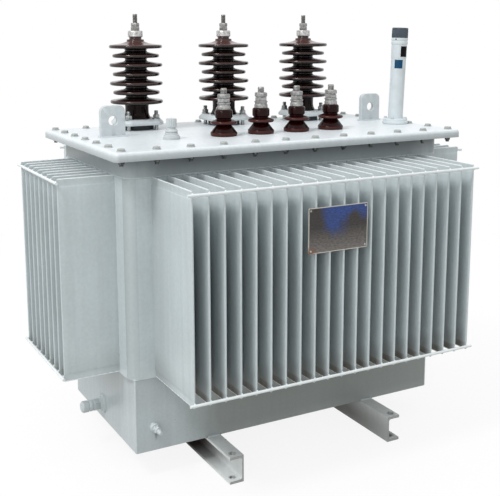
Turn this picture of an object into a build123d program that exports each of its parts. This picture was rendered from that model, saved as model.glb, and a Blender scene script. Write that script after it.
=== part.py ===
"""Oil-filled distribution transformer with a sealed corrugated tank, in millimetres.

X runs along the long front, -Y is the front, +Z is up, and the origin is on the ground under the middle.
"""

import math
import os

from build123d import *

os.makedirs("parts", exist_ok=True)

# Skids: channels along Y whose flanges point outwards
skid_height = 80.0
skid_flange = 43.0
skid_flange_thickness = 8.0
skid_web = 5.0
skid_fillet = 6.0
skid_length = 810.0
skid_gauge = 550.0
skid_hole_diameter = 17.0
skid_hole_setback = 25.0
skid_hole_end = 22.0

# Tank: lower box, upper box, collar and flange
base_length = 1024.0
base_width = 520.0
base_height = 217.0
base_corner = 5.0
wall_length = 1052.0
wall_proud = 5.0
wall_width = base_width + 2 * wall_proud
wall_height = 565.0
wall_corner = 30.0
wall_sheet = 1.5
collar_height = 52.0
collar_proud = 3.0
flange_thickness = 12.0
flange_gap = 4.0

# Fin banks: folded fins with pinched ends, tied by rods across their tips
fin_pitch = 45.0
fin_thickness = 6.0
fin_pinch_thickness = 3.0
fin_pinch_height = 22.0
fin_tip_chamfer = 1.2
fin_foot = 4.0
fin_head = 2.0
fin_margin = 44.0
long_fin_depth = 252.0
end_fin_depth = 160.0
rod_diameter = 8.0
rod_inset = 9.0
rod_overhang = 14.0

# Cover: a shallow pan on a frame gasket
cover_length = 1146.0
cover_width = 640.0
cover_corner = 14.0
cover_sheet = 6.0
cover_rim = 24.0
cover_rim_sheet = 5.0
cover_edge_radius = 10.0
gasket_thickness = 6.0
gasket_width = 60.0

# High-voltage bushings, heights above the cover
hv_spacing = 308.0
hv_back_edge = 125.0
hv_seat_diameter = 104.0
hv_seat_thickness = 16.0
hv_clamp_size = 140.0
hv_clamp_corner = 22.0
hv_clamp_thickness = 18.0
hv_clamp_bevel = 9.0
hv_clamp_clearance = 0.3
hv_foot_radius = 44.0
hv_foot_taper = 14.0
hv_neck_radius = 37.0
hv_core_radius = 34.0
hv_shed_count = 7
hv_first_shed = 87.0
hv_shed_pitch = 28.5
hv_large_shed_radius = 82.5
hv_small_shed_radius = 73.0
hv_shed_rise = 15.0
hv_shed_lip = 12.0
hv_top_ring_radius = 27.0
hv_top_ring_height = 8.0
hv_top_neck_radius = 19.0
hv_top_neck_height = 6.0
hv_cap_radius = 23.0
hv_cap_height = 20.0
hv_nut_width = 25.0
hv_nut_height = 24.0
hv_stud_diameter = 15.0
hv_stud_length = 27.0

# Low-voltage bushings, heights above the cover
lv_count = 4
lv_spacing = 126.0
lv_middle = 36.0
lv_front_edge = 215.0
lv_base_radius = 40.0
lv_base_height = 12.0
lv_waist_radius = 22.0
lv_waist_height = 35.0
lv_shed_radius = 40.0
lv_shed_lip = 9.0
lv_neck_radius = 21.0
lv_neck_height = 50.0
lv_barrel_radius = 26.0
lv_barrel_height = 78.0
lv_cap_radius = 20.0
lv_cap_height = 20.0
lv_nut_width = 34.0
lv_nut_height = 26.0
lv_stud_diameter = 20.0
lv_stud_length = 16.0

# Tap-changer knob
knob_left_edge = 251.0
knob_base_radius = 24.5
knob_base_height = 9.0
knob_body_radius = 18.5
knob_body_height = 20.0
knob_neck_radius = 12.0
knob_neck_height = 5.0
knob_cap_radius = 15.5
knob_cap_height = 26.0

# Lifting lugs: plates that stand along X
lug_width = 76.0
lug_height = 92.0
lug_thickness = 16.0
lug_corner = 18.0
lug_eye_diameter = 28.0
lug_eye_height = 48.0
left_lug_edge = 122.0
left_lug_y = 30.0
right_lug_edge = 78.0
right_lug_y = 60.0

# Oil gauge: its tube leans a little to the right
gauge_right_edge = 69.0
gauge_front_edge = 245.0
gauge_flange_radius = 42.0
gauge_flange_height = 18.0
gauge_tube_radius = 24.5
gauge_tube_height = 198.0
gauge_sleeve_radius = 25.5
gauge_sleeve_height = 46.0
gauge_ring_radius = 27.0
gauge_ring_height = 20.0
gauge_cap_radius = 26.5
gauge_cap_height = 33.0
gauge_edge = 3.0
gauge_lean = 2.2
gauge_foot_trim = 3.0

# Drain on the left side of the lower box, and earth stud on its front
drain_y = 13.0
drain_rise = 48.0
drain_pad_diameter = 56.0
drain_pad_thickness = 10.0
drain_neck_diameter = 34.0
drain_neck_length = 24.0
drain_cap_diameter = 36.0
drain_cap_length = 36.0
earth_left_edge = 54.0
earth_rise = 71.0
earth_boss_diameter = 26.0
earth_boss_length = 12.0
earth_stud_diameter = 12.0
earth_stud_length = 42.0

# Heights and half sizes that follow
wall_bottom = skid_height + base_height
collar_bottom = wall_bottom + wall_height
flange_bottom = collar_bottom + collar_height
gasket_bottom = flange_bottom + flange_thickness
sheet_bottom = gasket_bottom + gasket_thickness
cover_top = sheet_bottom + cover_sheet
half_length = wall_length / 2
half_width = wall_width / 2
flange_length = cover_length - 2 * (cover_rim_sheet + flange_gap)
flange_width = cover_width - 2 * (cover_rim_sheet + flange_gap)
flange_corner = cover_corner - cover_rim_sheet - flange_gap
fin_bottom = wall_bottom + fin_foot
fin_top = collar_bottom - fin_head
hv_row = cover_width / 2 - hv_back_edge
lv_row = lv_front_edge - cover_width / 2
knob_x = knob_left_edge - cover_length / 2
left_lug_x = left_lug_edge - cover_length / 2
right_lug_x = cover_length / 2 - right_lug_edge
gauge_x = cover_length / 2 - gauge_right_edge
gauge_y = gauge_front_edge - cover_width / 2
drain_z = skid_height + drain_rise
earth_x = earth_left_edge - base_length / 2
earth_z = skid_height + earth_rise


# Skids

def skid(name, side):
    """A channel under one side: side is -1 for left and 1 for right."""
    web_face = skid_gauge / 2 - skid_hole_setback
    inner_height = skid_height - 2 * skid_flange_thickness
    with BuildPart() as channel:
        with BuildSketch(Plane.XZ.offset(-skid_length / 2)):
            with Locations((side * (web_face + skid_flange / 2), skid_height / 2)):
                Rectangle(skid_flange, skid_height)
            with Locations((side * (web_face + skid_web + skid_flange / 2), skid_height / 2)):
                Rectangle(skid_flange, inner_height, mode=Mode.SUBTRACT)
        extrude(amount=skid_length)
        root = side * (web_face + skid_web)
        root_edges = channel.edges().filter_by(lambda edge: math.isclose(edge.center().X, root))
        fillet(root_edges.filter_by(Axis.Y), skid_fillet)
        with Locations(Plane.XY):
            with GridLocations(0, skid_length - 2 * skid_hole_end, 1, 2):
                with Locations((side * skid_gauge / 2, 0, 0)):
                    Cylinder(skid_hole_diameter / 2, skid_height,
                             align=(Align.CENTER, Align.CENTER, Align.MIN), mode=Mode.SUBTRACT)
    channel.part.label = name
    export_step(channel.part, f"parts/{name}.step")


skid("left_skid", -1)
skid("right_skid", 1)


# Tank

def rounded_block(name, length, width, corner, bottom, height):
    """A block on the tank's middle with rounded upright corners."""
    with BuildPart() as block:
        with BuildSketch(Plane.XY.offset(bottom)):
            RectangleRounded(length, width, corner)
        extrude(amount=height)
    block.part.label = name
    export_step(block.part, f"parts/{name}.step")


rounded_block("tank_base", base_length, base_width, base_corner, skid_height, base_height)
rounded_block("tank_wall", wall_length - 2 * wall_sheet, wall_width - 2 * wall_sheet, wall_corner,
              wall_bottom, wall_height)
rounded_block("tank_collar", wall_length + 2 * collar_proud, wall_width + 2 * collar_proud,
              wall_corner + collar_proud, collar_bottom, collar_height)
rounded_block("tank_flange", flange_length, flange_width, flange_corner, flange_bottom, flange_thickness)

with BuildPart() as cover_gasket:
    with BuildSketch(Plane.XY.offset(gasket_bottom)):
        RectangleRounded(flange_length, flange_width, flange_corner)
        Rectangle(flange_length - 2 * gasket_width, flange_width - 2 * gasket_width, mode=Mode.SUBTRACT)
    extrude(amount=gasket_thickness)
cover_gasket.part.label = "cover_gasket"
export_step(cover_gasket.part, "parts/cover_gasket.step")

with BuildPart() as cover:
    with BuildSketch(Plane.XY.offset(cover_top - cover_rim)):
        RectangleRounded(cover_length, cover_width, cover_corner)
    extrude(amount=cover_rim)
    fillet(cover.faces().sort_by(Axis.Z)[-1].edges(), cover_edge_radius)
    with BuildSketch(Plane.XY.offset(cover_top - cover_rim)):
        RectangleRounded(cover_length - 2 * cover_rim_sheet, cover_width - 2 * cover_rim_sheet,
                         cover_corner - cover_rim_sheet)
    extrude(amount=cover_rim - cover_sheet, mode=Mode.SUBTRACT)
cover.part.label = "cover"
export_step(cover.part, "parts/cover.step")


# Fin banks and their tie rods, drawn on each wall face with local X along the wall and local Y upright

wall_faces = {
    "front": Plane((0, -half_width + wall_sheet, 0), x_dir=(1, 0, 0), z_dir=(0, -1, 0)),
    "back": Plane((0, half_width - wall_sheet, 0), x_dir=(-1, 0, 0), z_dir=(0, 1, 0)),
    "left": Plane((-half_length + wall_sheet, 0, 0), x_dir=(0, -1, 0), z_dir=(-1, 0, 0)),
    "right": Plane((half_length - wall_sheet, 0, 0), x_dir=(0, 1, 0), z_dir=(1, 0, 0)),
}


def fin_places(run):
    """Where the fins stand along a sheet of this run, at the fin pitch about its middle."""
    gaps = int((run - 2 * fin_margin) / fin_pitch)
    return [(index - gaps / 2) * fin_pitch for index in range(gaps + 1)]


def fin_bank(name, face, depth, run):
    """A sheet on a wall with fins folded out of it, each pinched shut at its two ends."""
    body = fin_thickness / 2
    pinch = fin_pinch_thickness / 2
    low = fin_bottom + fin_pinch_height
    high = fin_top - fin_pinch_height
    with BuildPart() as bank:
        with BuildSketch(face):
            with Locations((0, wall_bottom + wall_height / 2)):
                Rectangle(run, wall_height)
        extrude(amount=wall_sheet)
        with BuildSketch(face.offset(wall_sheet)):
            for middle in fin_places(run):
                with BuildLine():
                    Polyline(
                        (middle - pinch, fin_bottom), (middle + pinch, fin_bottom),
                        (middle + body, low), (middle + body, high),
                        (middle + pinch, fin_top), (middle - pinch, fin_top),
                        (middle - body, high), (middle - body, low), close=True)
                make_face()
        extrude(amount=depth)
        tips = bank.faces().group_by(Axis(face.origin, face.z_dir))[-1]
        long_edges = tips.edges().filter_by(lambda edge: edge.length > 2 * fin_thickness)
        chamfer(long_edges, fin_tip_chamfer)
    bank.part.label = f"{name}_fin_bank"
    export_step(bank.part, f"parts/{name}_fin_bank.step")


def tie_rods(name, face, depth, run):
    """Two rods across the fin tips, one near each end of the fins."""
    reach = 2 * (fin_places(run)[-1] + rod_overhang)
    tip = wall_sheet + depth + rod_diameter / 2
    with BuildPart() as rods:
        for height in (fin_bottom + rod_inset, fin_top - rod_inset):
            start = face.from_local_coords((-reach / 2, height, tip))
            with BuildSketch(Plane(start, z_dir=face.x_dir)):
                Circle(rod_diameter / 2)
            extrude(amount=reach)
    rods.part.label = f"{name}_tie_rods"
    export_step(rods.part, f"parts/{name}_tie_rods.step")


for side_name, wall_face in wall_faces.items():
    is_long = side_name in ("front", "back")
    fin_depth = long_fin_depth if is_long else end_fin_depth
    sheet_run = (wall_length if is_long else wall_width) - 2 * wall_corner
    fin_bank(side_name, wall_face, fin_depth, sheet_run)
    tie_rods(side_name, wall_face, fin_depth, sheet_run)


# High-voltage bushings

def hv_set(letter, x):
    """One tall bushing: seat ring, clamp plate, shed porcelain and terminal."""
    seat_top = cover_top + hv_seat_thickness
    clamp_top = seat_top + hv_clamp_thickness
    hole_radius = hv_foot_radius + hv_clamp_clearance
    with BuildPart() as seat:
        with BuildSketch(Plane((x, hv_row, cover_top))):
            Circle(hv_seat_diameter / 2)
        extrude(amount=hv_seat_thickness)
    seat.part.label = f"hv_seat_{letter}"
    export_step(seat.part, f"parts/hv_seat_{letter}.step")

    with BuildPart() as clamp:
        with BuildSketch(Plane((x, hv_row, seat_top))) as outline:
            Rectangle(hv_clamp_size, hv_clamp_size)
            chamfer(outline.vertices(), hv_clamp_corner)
            Circle(hole_radius, mode=Mode.SUBTRACT)
        extrude(amount=hv_clamp_thickness)
        top_edges = clamp.faces().sort_by(Axis.Z)[-1].outer_wire().edges()
        chamfer(top_edges, hv_clamp_bevel)
    clamp.part.label = f"hv_clamp_{letter}"
    export_step(clamp.part, f"parts/hv_clamp_{letter}.step")

    last_shed = cover_top + hv_first_shed + (hv_shed_count - 1) * hv_shed_pitch
    ring_top = last_shed + hv_shed_rise + hv_top_ring_height
    neck_top = ring_top + hv_top_neck_height
    with BuildPart() as bushing:
        with BuildSketch(Plane((x, hv_row, 0), x_dir=(1, 0, 0), z_dir=(0, -1, 0))):
            with BuildLine():
                Polyline((0, seat_top), (hv_foot_radius, seat_top), (hv_foot_radius, clamp_top),
                         (hv_neck_radius, clamp_top + hv_foot_taper))
                below = (hv_neck_radius, clamp_top + hv_foot_taper)
                for index in range(hv_shed_count):
                    is_large = index % 2 == 0
                    rim = hv_large_shed_radius if is_large else hv_small_shed_radius
                    height = cover_top + hv_first_shed + index * hv_shed_pitch
                    is_last = index == hv_shed_count - 1
                    top_radius = hv_top_ring_radius if is_last else hv_core_radius
                    underside = height - hv_shed_lip / 2
                    crown = (top_radius, height + hv_shed_rise)
                    Polyline(below, (below[0], underside), (rim, underside),
                             (rim, underside + hv_shed_lip), crown)
                    below = crown
                Polyline(below, (hv_top_ring_radius, ring_top), (hv_top_neck_radius, ring_top),
                         (hv_top_neck_radius, neck_top), (0, neck_top), (0, seat_top))
            make_face()
        revolve(axis=Axis((x, hv_row, 0), (0, 0, 1)))
    bushing.part.label = f"hv_bushing_{letter}"
    export_step(bushing.part, f"parts/hv_bushing_{letter}.step")

    cap_top = neck_top + hv_cap_height
    nut_top = cap_top + hv_nut_height
    with BuildPart() as terminal:
        with BuildSketch(Plane((x, hv_row, neck_top))):
            Circle(hv_cap_radius)
        extrude(amount=hv_cap_height)
        with BuildSketch(Plane((x, hv_row, cap_top))):
            RegularPolygon(hv_nut_width / 2, 6, major_radius=False)
        extrude(amount=hv_nut_height)
        with BuildSketch(Plane((x, hv_row, nut_top))):
            Circle(hv_stud_diameter / 2)
        extrude(amount=hv_stud_length)
    terminal.part.label = f"hv_terminal_{letter}"
    export_step(terminal.part, f"parts/hv_terminal_{letter}.step")


for index, letter in enumerate("abc"):
    hv_set(letter, (index - 1) * hv_spacing)


# Low-voltage bushings

def lv_set(letter, x):
    """One short bushing: flanged porcelain and terminal."""
    waist_top = cover_top + lv_waist_height
    shed_top = waist_top + lv_shed_lip
    neck_top = cover_top + lv_neck_height
    barrel_top = cover_top + lv_barrel_height
    with BuildPart() as bushing:
        with BuildSketch(Plane((x, lv_row, 0), x_dir=(1, 0, 0), z_dir=(0, -1, 0))):
            with BuildLine():
                Polyline((0, cover_top), (lv_base_radius, cover_top),
                         (lv_base_radius, cover_top + lv_base_height),
                         (lv_waist_radius, waist_top), (lv_shed_radius, waist_top),
                         (lv_shed_radius, shed_top), (lv_neck_radius, neck_top),
                         (lv_barrel_radius, neck_top), (lv_barrel_radius, barrel_top),
                         (0, barrel_top), close=True)
            make_face()
        revolve(axis=Axis((x, lv_row, 0), (0, 0, 1)))
    bushing.part.label = f"lv_bushing_{letter}"
    export_step(bushing.part, f"parts/lv_bushing_{letter}.step")

    cap_top = barrel_top + lv_cap_height
    nut_top = cap_top + lv_nut_height
    with BuildPart() as terminal:
        with BuildSketch(Plane((x, lv_row, barrel_top))):
            Circle(lv_cap_radius)
        extrude(amount=lv_cap_height)
        with BuildSketch(Plane((x, lv_row, cap_top))):
            RegularPolygon(lv_nut_width / 2, 6, major_radius=False)
        extrude(amount=lv_nut_height)
        with BuildSketch(Plane((x, lv_row, nut_top))):
            Circle(lv_stud_diameter / 2)
        extrude(amount=lv_stud_length)
    terminal.part.label = f"lv_terminal_{letter}"
    export_step(terminal.part, f"parts/lv_terminal_{letter}.step")


for index, letter in enumerate("abcd"[:lv_count]):
    lv_set(letter, lv_middle + (index - (lv_count - 1) / 2) * lv_spacing)


# Fittings on the cover

with BuildPart() as tap_changer_knob:
    with BuildSketch(Plane((knob_x, lv_row, cover_top), x_dir=(1, 0, 0), z_dir=(0, -1, 0))):
        with BuildLine():
            body_top = knob_base_height + knob_body_height
            neck_top = body_top + knob_neck_height
            knob_top = neck_top + knob_cap_height
            Polyline((0, 0), (knob_base_radius, 0), (knob_base_radius, knob_base_height),
                     (knob_body_radius, knob_base_height), (knob_body_radius, body_top),
                     (knob_neck_radius, body_top), (knob_neck_radius, neck_top),
                     (knob_cap_radius, neck_top), (knob_cap_radius, knob_top), (0, knob_top), close=True)
        make_face()
    revolve(axis=Axis((knob_x, lv_row, 0), (0, 0, 1)))
tap_changer_knob.part.label = "tap_changer_knob"
export_step(tap_changer_knob.part, "parts/tap_changer_knob.step")


def lifting_lug(name, x, y):
    """A plate on edge with an eye and rounded top corners."""
    with BuildPart() as lug:
        back_face = Plane((x, y + lug_thickness / 2, cover_top), x_dir=(1, 0, 0), z_dir=(0, -1, 0))
        with BuildSketch(back_face) as outline:
            with Locations((0, lug_height / 2)):
                Rectangle(lug_width, lug_height)
            fillet(outline.vertices().group_by(Axis.Y)[-1], lug_corner)
            with Locations((0, lug_eye_height)):
                Circle(lug_eye_diameter / 2, mode=Mode.SUBTRACT)
        extrude(amount=lug_thickness)
    lug.part.label = name
    export_step(lug.part, f"parts/{name}.step")


lifting_lug("left_lifting_lug", left_lug_x, left_lug_y)
lifting_lug("right_lifting_lug", right_lug_x, right_lug_y)

flange_top = cover_top + gauge_flange_height
gauge_axis = Vector(math.sin(math.radians(gauge_lean)), 0, math.cos(math.radians(gauge_lean)))
gauge_foot = Plane((gauge_x, gauge_y, flange_top), z_dir=gauge_axis)
gauge_sleeve_bottom = gauge_tube_height
gauge_ring_bottom = gauge_sleeve_bottom + gauge_sleeve_height
gauge_cap_bottom = gauge_ring_bottom + gauge_ring_height

with BuildPart() as gauge_flange:
    with BuildSketch(Plane((gauge_x, gauge_y, cover_top))):
        Circle(gauge_flange_radius)
    extrude(amount=gauge_flange_height)
    chamfer(gauge_flange.edges().sort_by(Axis.Z)[-1], gauge_edge)
gauge_flange.part.label = "gauge_flange"
export_step(gauge_flange.part, "parts/gauge_flange.step")

with BuildPart() as gauge_tube:
    for radius, bottom, height in (
        (gauge_tube_radius, -gauge_foot_trim, gauge_foot_trim + gauge_tube_height),
        (gauge_sleeve_radius, gauge_sleeve_bottom, gauge_sleeve_height),
        (gauge_ring_radius, gauge_ring_bottom, gauge_ring_height),
    ):
        with BuildSketch(gauge_foot.offset(bottom)):
            Circle(radius)
        extrude(amount=height)
    # The leaning foot is trimmed level with the flange
    split(bisect_by=Plane.XY.offset(flange_top))
gauge_tube.part.label = "gauge_tube"
export_step(gauge_tube.part, "parts/gauge_tube.step")

with BuildPart() as gauge_head:
    with BuildSketch(gauge_foot.offset(gauge_cap_bottom)):
        Circle(gauge_cap_radius)
    extrude(amount=gauge_cap_height)
gauge_head.part.label = "gauge_head"
export_step(gauge_head.part, "parts/gauge_head.step")


# Fittings on the lower box

drain_face = Plane((-base_length / 2, drain_y, drain_z), x_dir=(0, -1, 0), z_dir=(-1, 0, 0))

with BuildPart() as drain_neck:
    with BuildSketch(drain_face):
        Circle(drain_pad_diameter / 2)
    extrude(amount=drain_pad_thickness)
    with BuildSketch(drain_face.offset(drain_pad_thickness)):
        Circle(drain_neck_diameter / 2)
    extrude(amount=drain_neck_length)
drain_neck.part.label = "drain_neck"
export_step(drain_neck.part, "parts/drain_neck.step")

with BuildPart() as drain_cap:
    with BuildSketch(drain_face.offset(drain_pad_thickness + drain_neck_length)):
        Circle(drain_cap_diameter / 2)
    extrude(amount=drain_cap_length)
drain_cap.part.label = "drain_cap"
export_step(drain_cap.part, "parts/drain_cap.step")

earth_face = Plane((earth_x, -base_width / 2, earth_z), x_dir=(1, 0, 0), z_dir=(0, -1, 0))

with BuildPart() as earth_stud:
    with BuildSketch(earth_face):
        Circle(earth_boss_diameter / 2)
    extrude(amount=earth_boss_length)
    with BuildSketch(earth_face.offset(earth_boss_length)):
        Circle(earth_stud_diameter / 2)
    extrude(amount=earth_stud_length)
earth_stud.part.label = "earth_stud"
export_step(earth_stud.part, "parts/earth_stud.step")
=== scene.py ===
"""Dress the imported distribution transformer: finishes, fins, porcelain, fasteners, welds and the studio.

Sizes of pieces and patterns are in millimetres until a mesh or a node is made. The lamps, the floor and the
camera are in metres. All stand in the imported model's frame: X along the long front, -Y out of the front and
+Z up, with the origin on the ground under the middle.
"""

import logging
import math
import random
from abc import ABC, abstractmethod
from collections.abc import Callable, Sequence
from dataclasses import dataclass, field
from enum import Enum

import bmesh
import bpy
from mathutils import Matrix, Vector, noise


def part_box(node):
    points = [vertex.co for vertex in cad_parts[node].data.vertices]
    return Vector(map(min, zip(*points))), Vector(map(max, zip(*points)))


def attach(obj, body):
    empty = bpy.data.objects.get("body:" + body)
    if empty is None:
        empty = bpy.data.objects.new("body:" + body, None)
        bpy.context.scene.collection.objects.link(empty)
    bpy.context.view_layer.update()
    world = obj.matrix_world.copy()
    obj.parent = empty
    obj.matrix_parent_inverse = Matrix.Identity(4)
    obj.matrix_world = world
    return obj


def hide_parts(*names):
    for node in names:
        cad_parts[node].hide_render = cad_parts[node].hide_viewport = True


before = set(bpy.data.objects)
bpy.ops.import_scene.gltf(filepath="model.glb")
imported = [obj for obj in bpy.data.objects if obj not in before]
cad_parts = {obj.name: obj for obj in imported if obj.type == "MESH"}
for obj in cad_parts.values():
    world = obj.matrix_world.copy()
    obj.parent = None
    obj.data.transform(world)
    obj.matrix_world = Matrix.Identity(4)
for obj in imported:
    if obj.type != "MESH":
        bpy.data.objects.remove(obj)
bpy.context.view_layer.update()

LOG = logging.getLogger("transformer")
MM = 0.001
BODY = "root"
SHARP_ANGLE = math.radians(34.0)
MARK = "mark"
MIX_A, MIX_B, MIX_OUT = 6, 7, 2

# A profile's corner is its radius, height and cut, and a disc is its width, bottom and top
Ring = list[Vector]
Mark = Callable[[Vector], float]
Corner = tuple[float, float, float]
Profile = tuple[Corner, ...]
Disc = tuple[float, float, float]
Colour = tuple[float, float, float, float]
Tree = bpy.types.NodeTree
Node = bpy.types.Node
Socket = bpy.types.NodeSocket
Wires = dict[str | int, object]


# Small helpers

def linear(code: str) -> Colour:
    """Turn an sRGB hex value into a linear colour.

    Args:
        code: a colour such as "#c0c8ca".

    Returns:
        Red, green, blue and an alpha of 1.
    """
    channels = [int(code[start:start + 2], 16) / 255.0 for start in (1, 3, 5)]
    red, green, blue = (c / 12.92 if c <= 0.04045 else ((c + 0.055) / 1.055) ** 2.4 for c in channels)
    return red, green, blue, 1.0


def per_metre(size: float) -> float:
    """Turn a pattern's real size in millimetres into a texture scale."""
    return 1.0 / (size * MM)


def add_node(tree: Tree, kind: str, wires: Wires | None = None, **settings: object) -> Node:
    """Add a node with its settings, values and links.

    Args:
        tree: the node tree that gets it.
        kind: the node's type name.
        wires: for each input, a socket to link from or a value to set.
        settings: the node's own properties.

    Returns:
        The new node.
    """
    node = tree.nodes.new(kind)
    for key, value in settings.items():
        setattr(node, key, value)
    for key, value in (wires or {}).items():
        if isinstance(value, Socket):
            tree.links.new(value, node.inputs[key])
        else:
            node.inputs[key].default_value = value
    return node


def box_mm(node: str) -> tuple[Vector, Vector]:
    """Give a CAD node's lowest and highest corners in millimetres."""
    low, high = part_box(node)
    return low / MM, high / MM


def seat_of(node: str) -> Vector:
    """Give the middle of a CAD node's underside in millimetres."""
    low, high = box_mm(node)
    return Vector(((low.x + high.x) / 2, (low.y + high.y) / 2, low.z))


def smooth(value: float) -> float:
    """Ease a value from 0 to 1, and hold it there outside."""
    held = min(1.0, max(0.0, value))
    return held * held * (3.0 - 2.0 * held)


# Outlines and profiles

def circle(radius: float, height: float, count: int) -> Ring:
    """Give a level ring of points about the upright axis."""
    steps = [2.0 * math.pi * index / count for index in range(count)]
    return [Vector((radius * math.cos(step), radius * math.sin(step), height)) for step in steps]


def hexagon(flats: float, height: float) -> Ring:
    """Give a level hexagon from its width across flats."""
    return circle(flats / math.sqrt(3.0), height, 6)


def rounded_rectangle(length: float, width: float, corner: float, height: float, steps: int = 5) -> Ring:
    """Give a level rectangle with rounded corners.

    Args:
        length: its size along X.
        width: its size along Y.
        corner: the radius of its corners.
        height: where it lies along Z.
        steps: how many pieces a corner has.

    Returns:
        Its points, counter-clockwise.
    """
    points = []
    for quarter, (right, back) in enumerate(((1, 1), (-1, 1), (-1, -1), (1, -1))):
        middle = Vector((right * (length / 2 - corner), back * (width / 2 - corner), height))
        for step in range(steps + 1):
            angle = math.pi / 2 * (quarter + step / steps)
            points.append(middle + Vector((corner * math.cos(angle), corner * math.sin(angle), 0.0)))
    return points


def eased(corners: Sequence[Corner], steps: int = 5) -> list[Vector]:
    """Round the corners of a profile.

    Args:
        corners: each corner's radius, height and cut, which is how far from the corner its rounding starts.
        steps: how many pieces a rounded corner has.

    Returns:
        Radius and height of each point of the rounded profile.
    """
    points = []
    for index, (radius, height, cut) in enumerate(corners):
        here = Vector((radius, height))
        if not cut or index in (0, len(corners) - 1):
            points.append(here)
            continue
        before = Vector(corners[index - 1][:2]) - here
        after = Vector(corners[index + 1][:2]) - here
        start = here + before.normalized() * min(cut, before.length * 0.49)
        end = here + after.normalized() * min(cut, after.length * 0.49)
        for step in range(steps + 1):
            share = step / steps
            points.append(start * (1 - share) ** 2 + here * 2 * share * (1 - share) + end * share ** 2)
    return points


def walk(path: Sequence[Vector], spacing: float, closed: bool) -> list[Vector]:
    """Give evenly spaced points along a path.

    Args:
        path: the path's corners.
        spacing: the wanted distance between points.
        closed: whether the path comes back to its start.

    Returns:
        The points, without a second copy of the start on a closed path.
    """
    legs = list(zip(path, [*path[1:], path[0]] if closed else path[1:]))
    points = []
    for start, end in legs:
        count = max(1, round((end - start).length / spacing))
        points.extend(start.lerp(end, step / count) for step in range(count))
    return points if closed else [*points, path[-1]]


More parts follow.
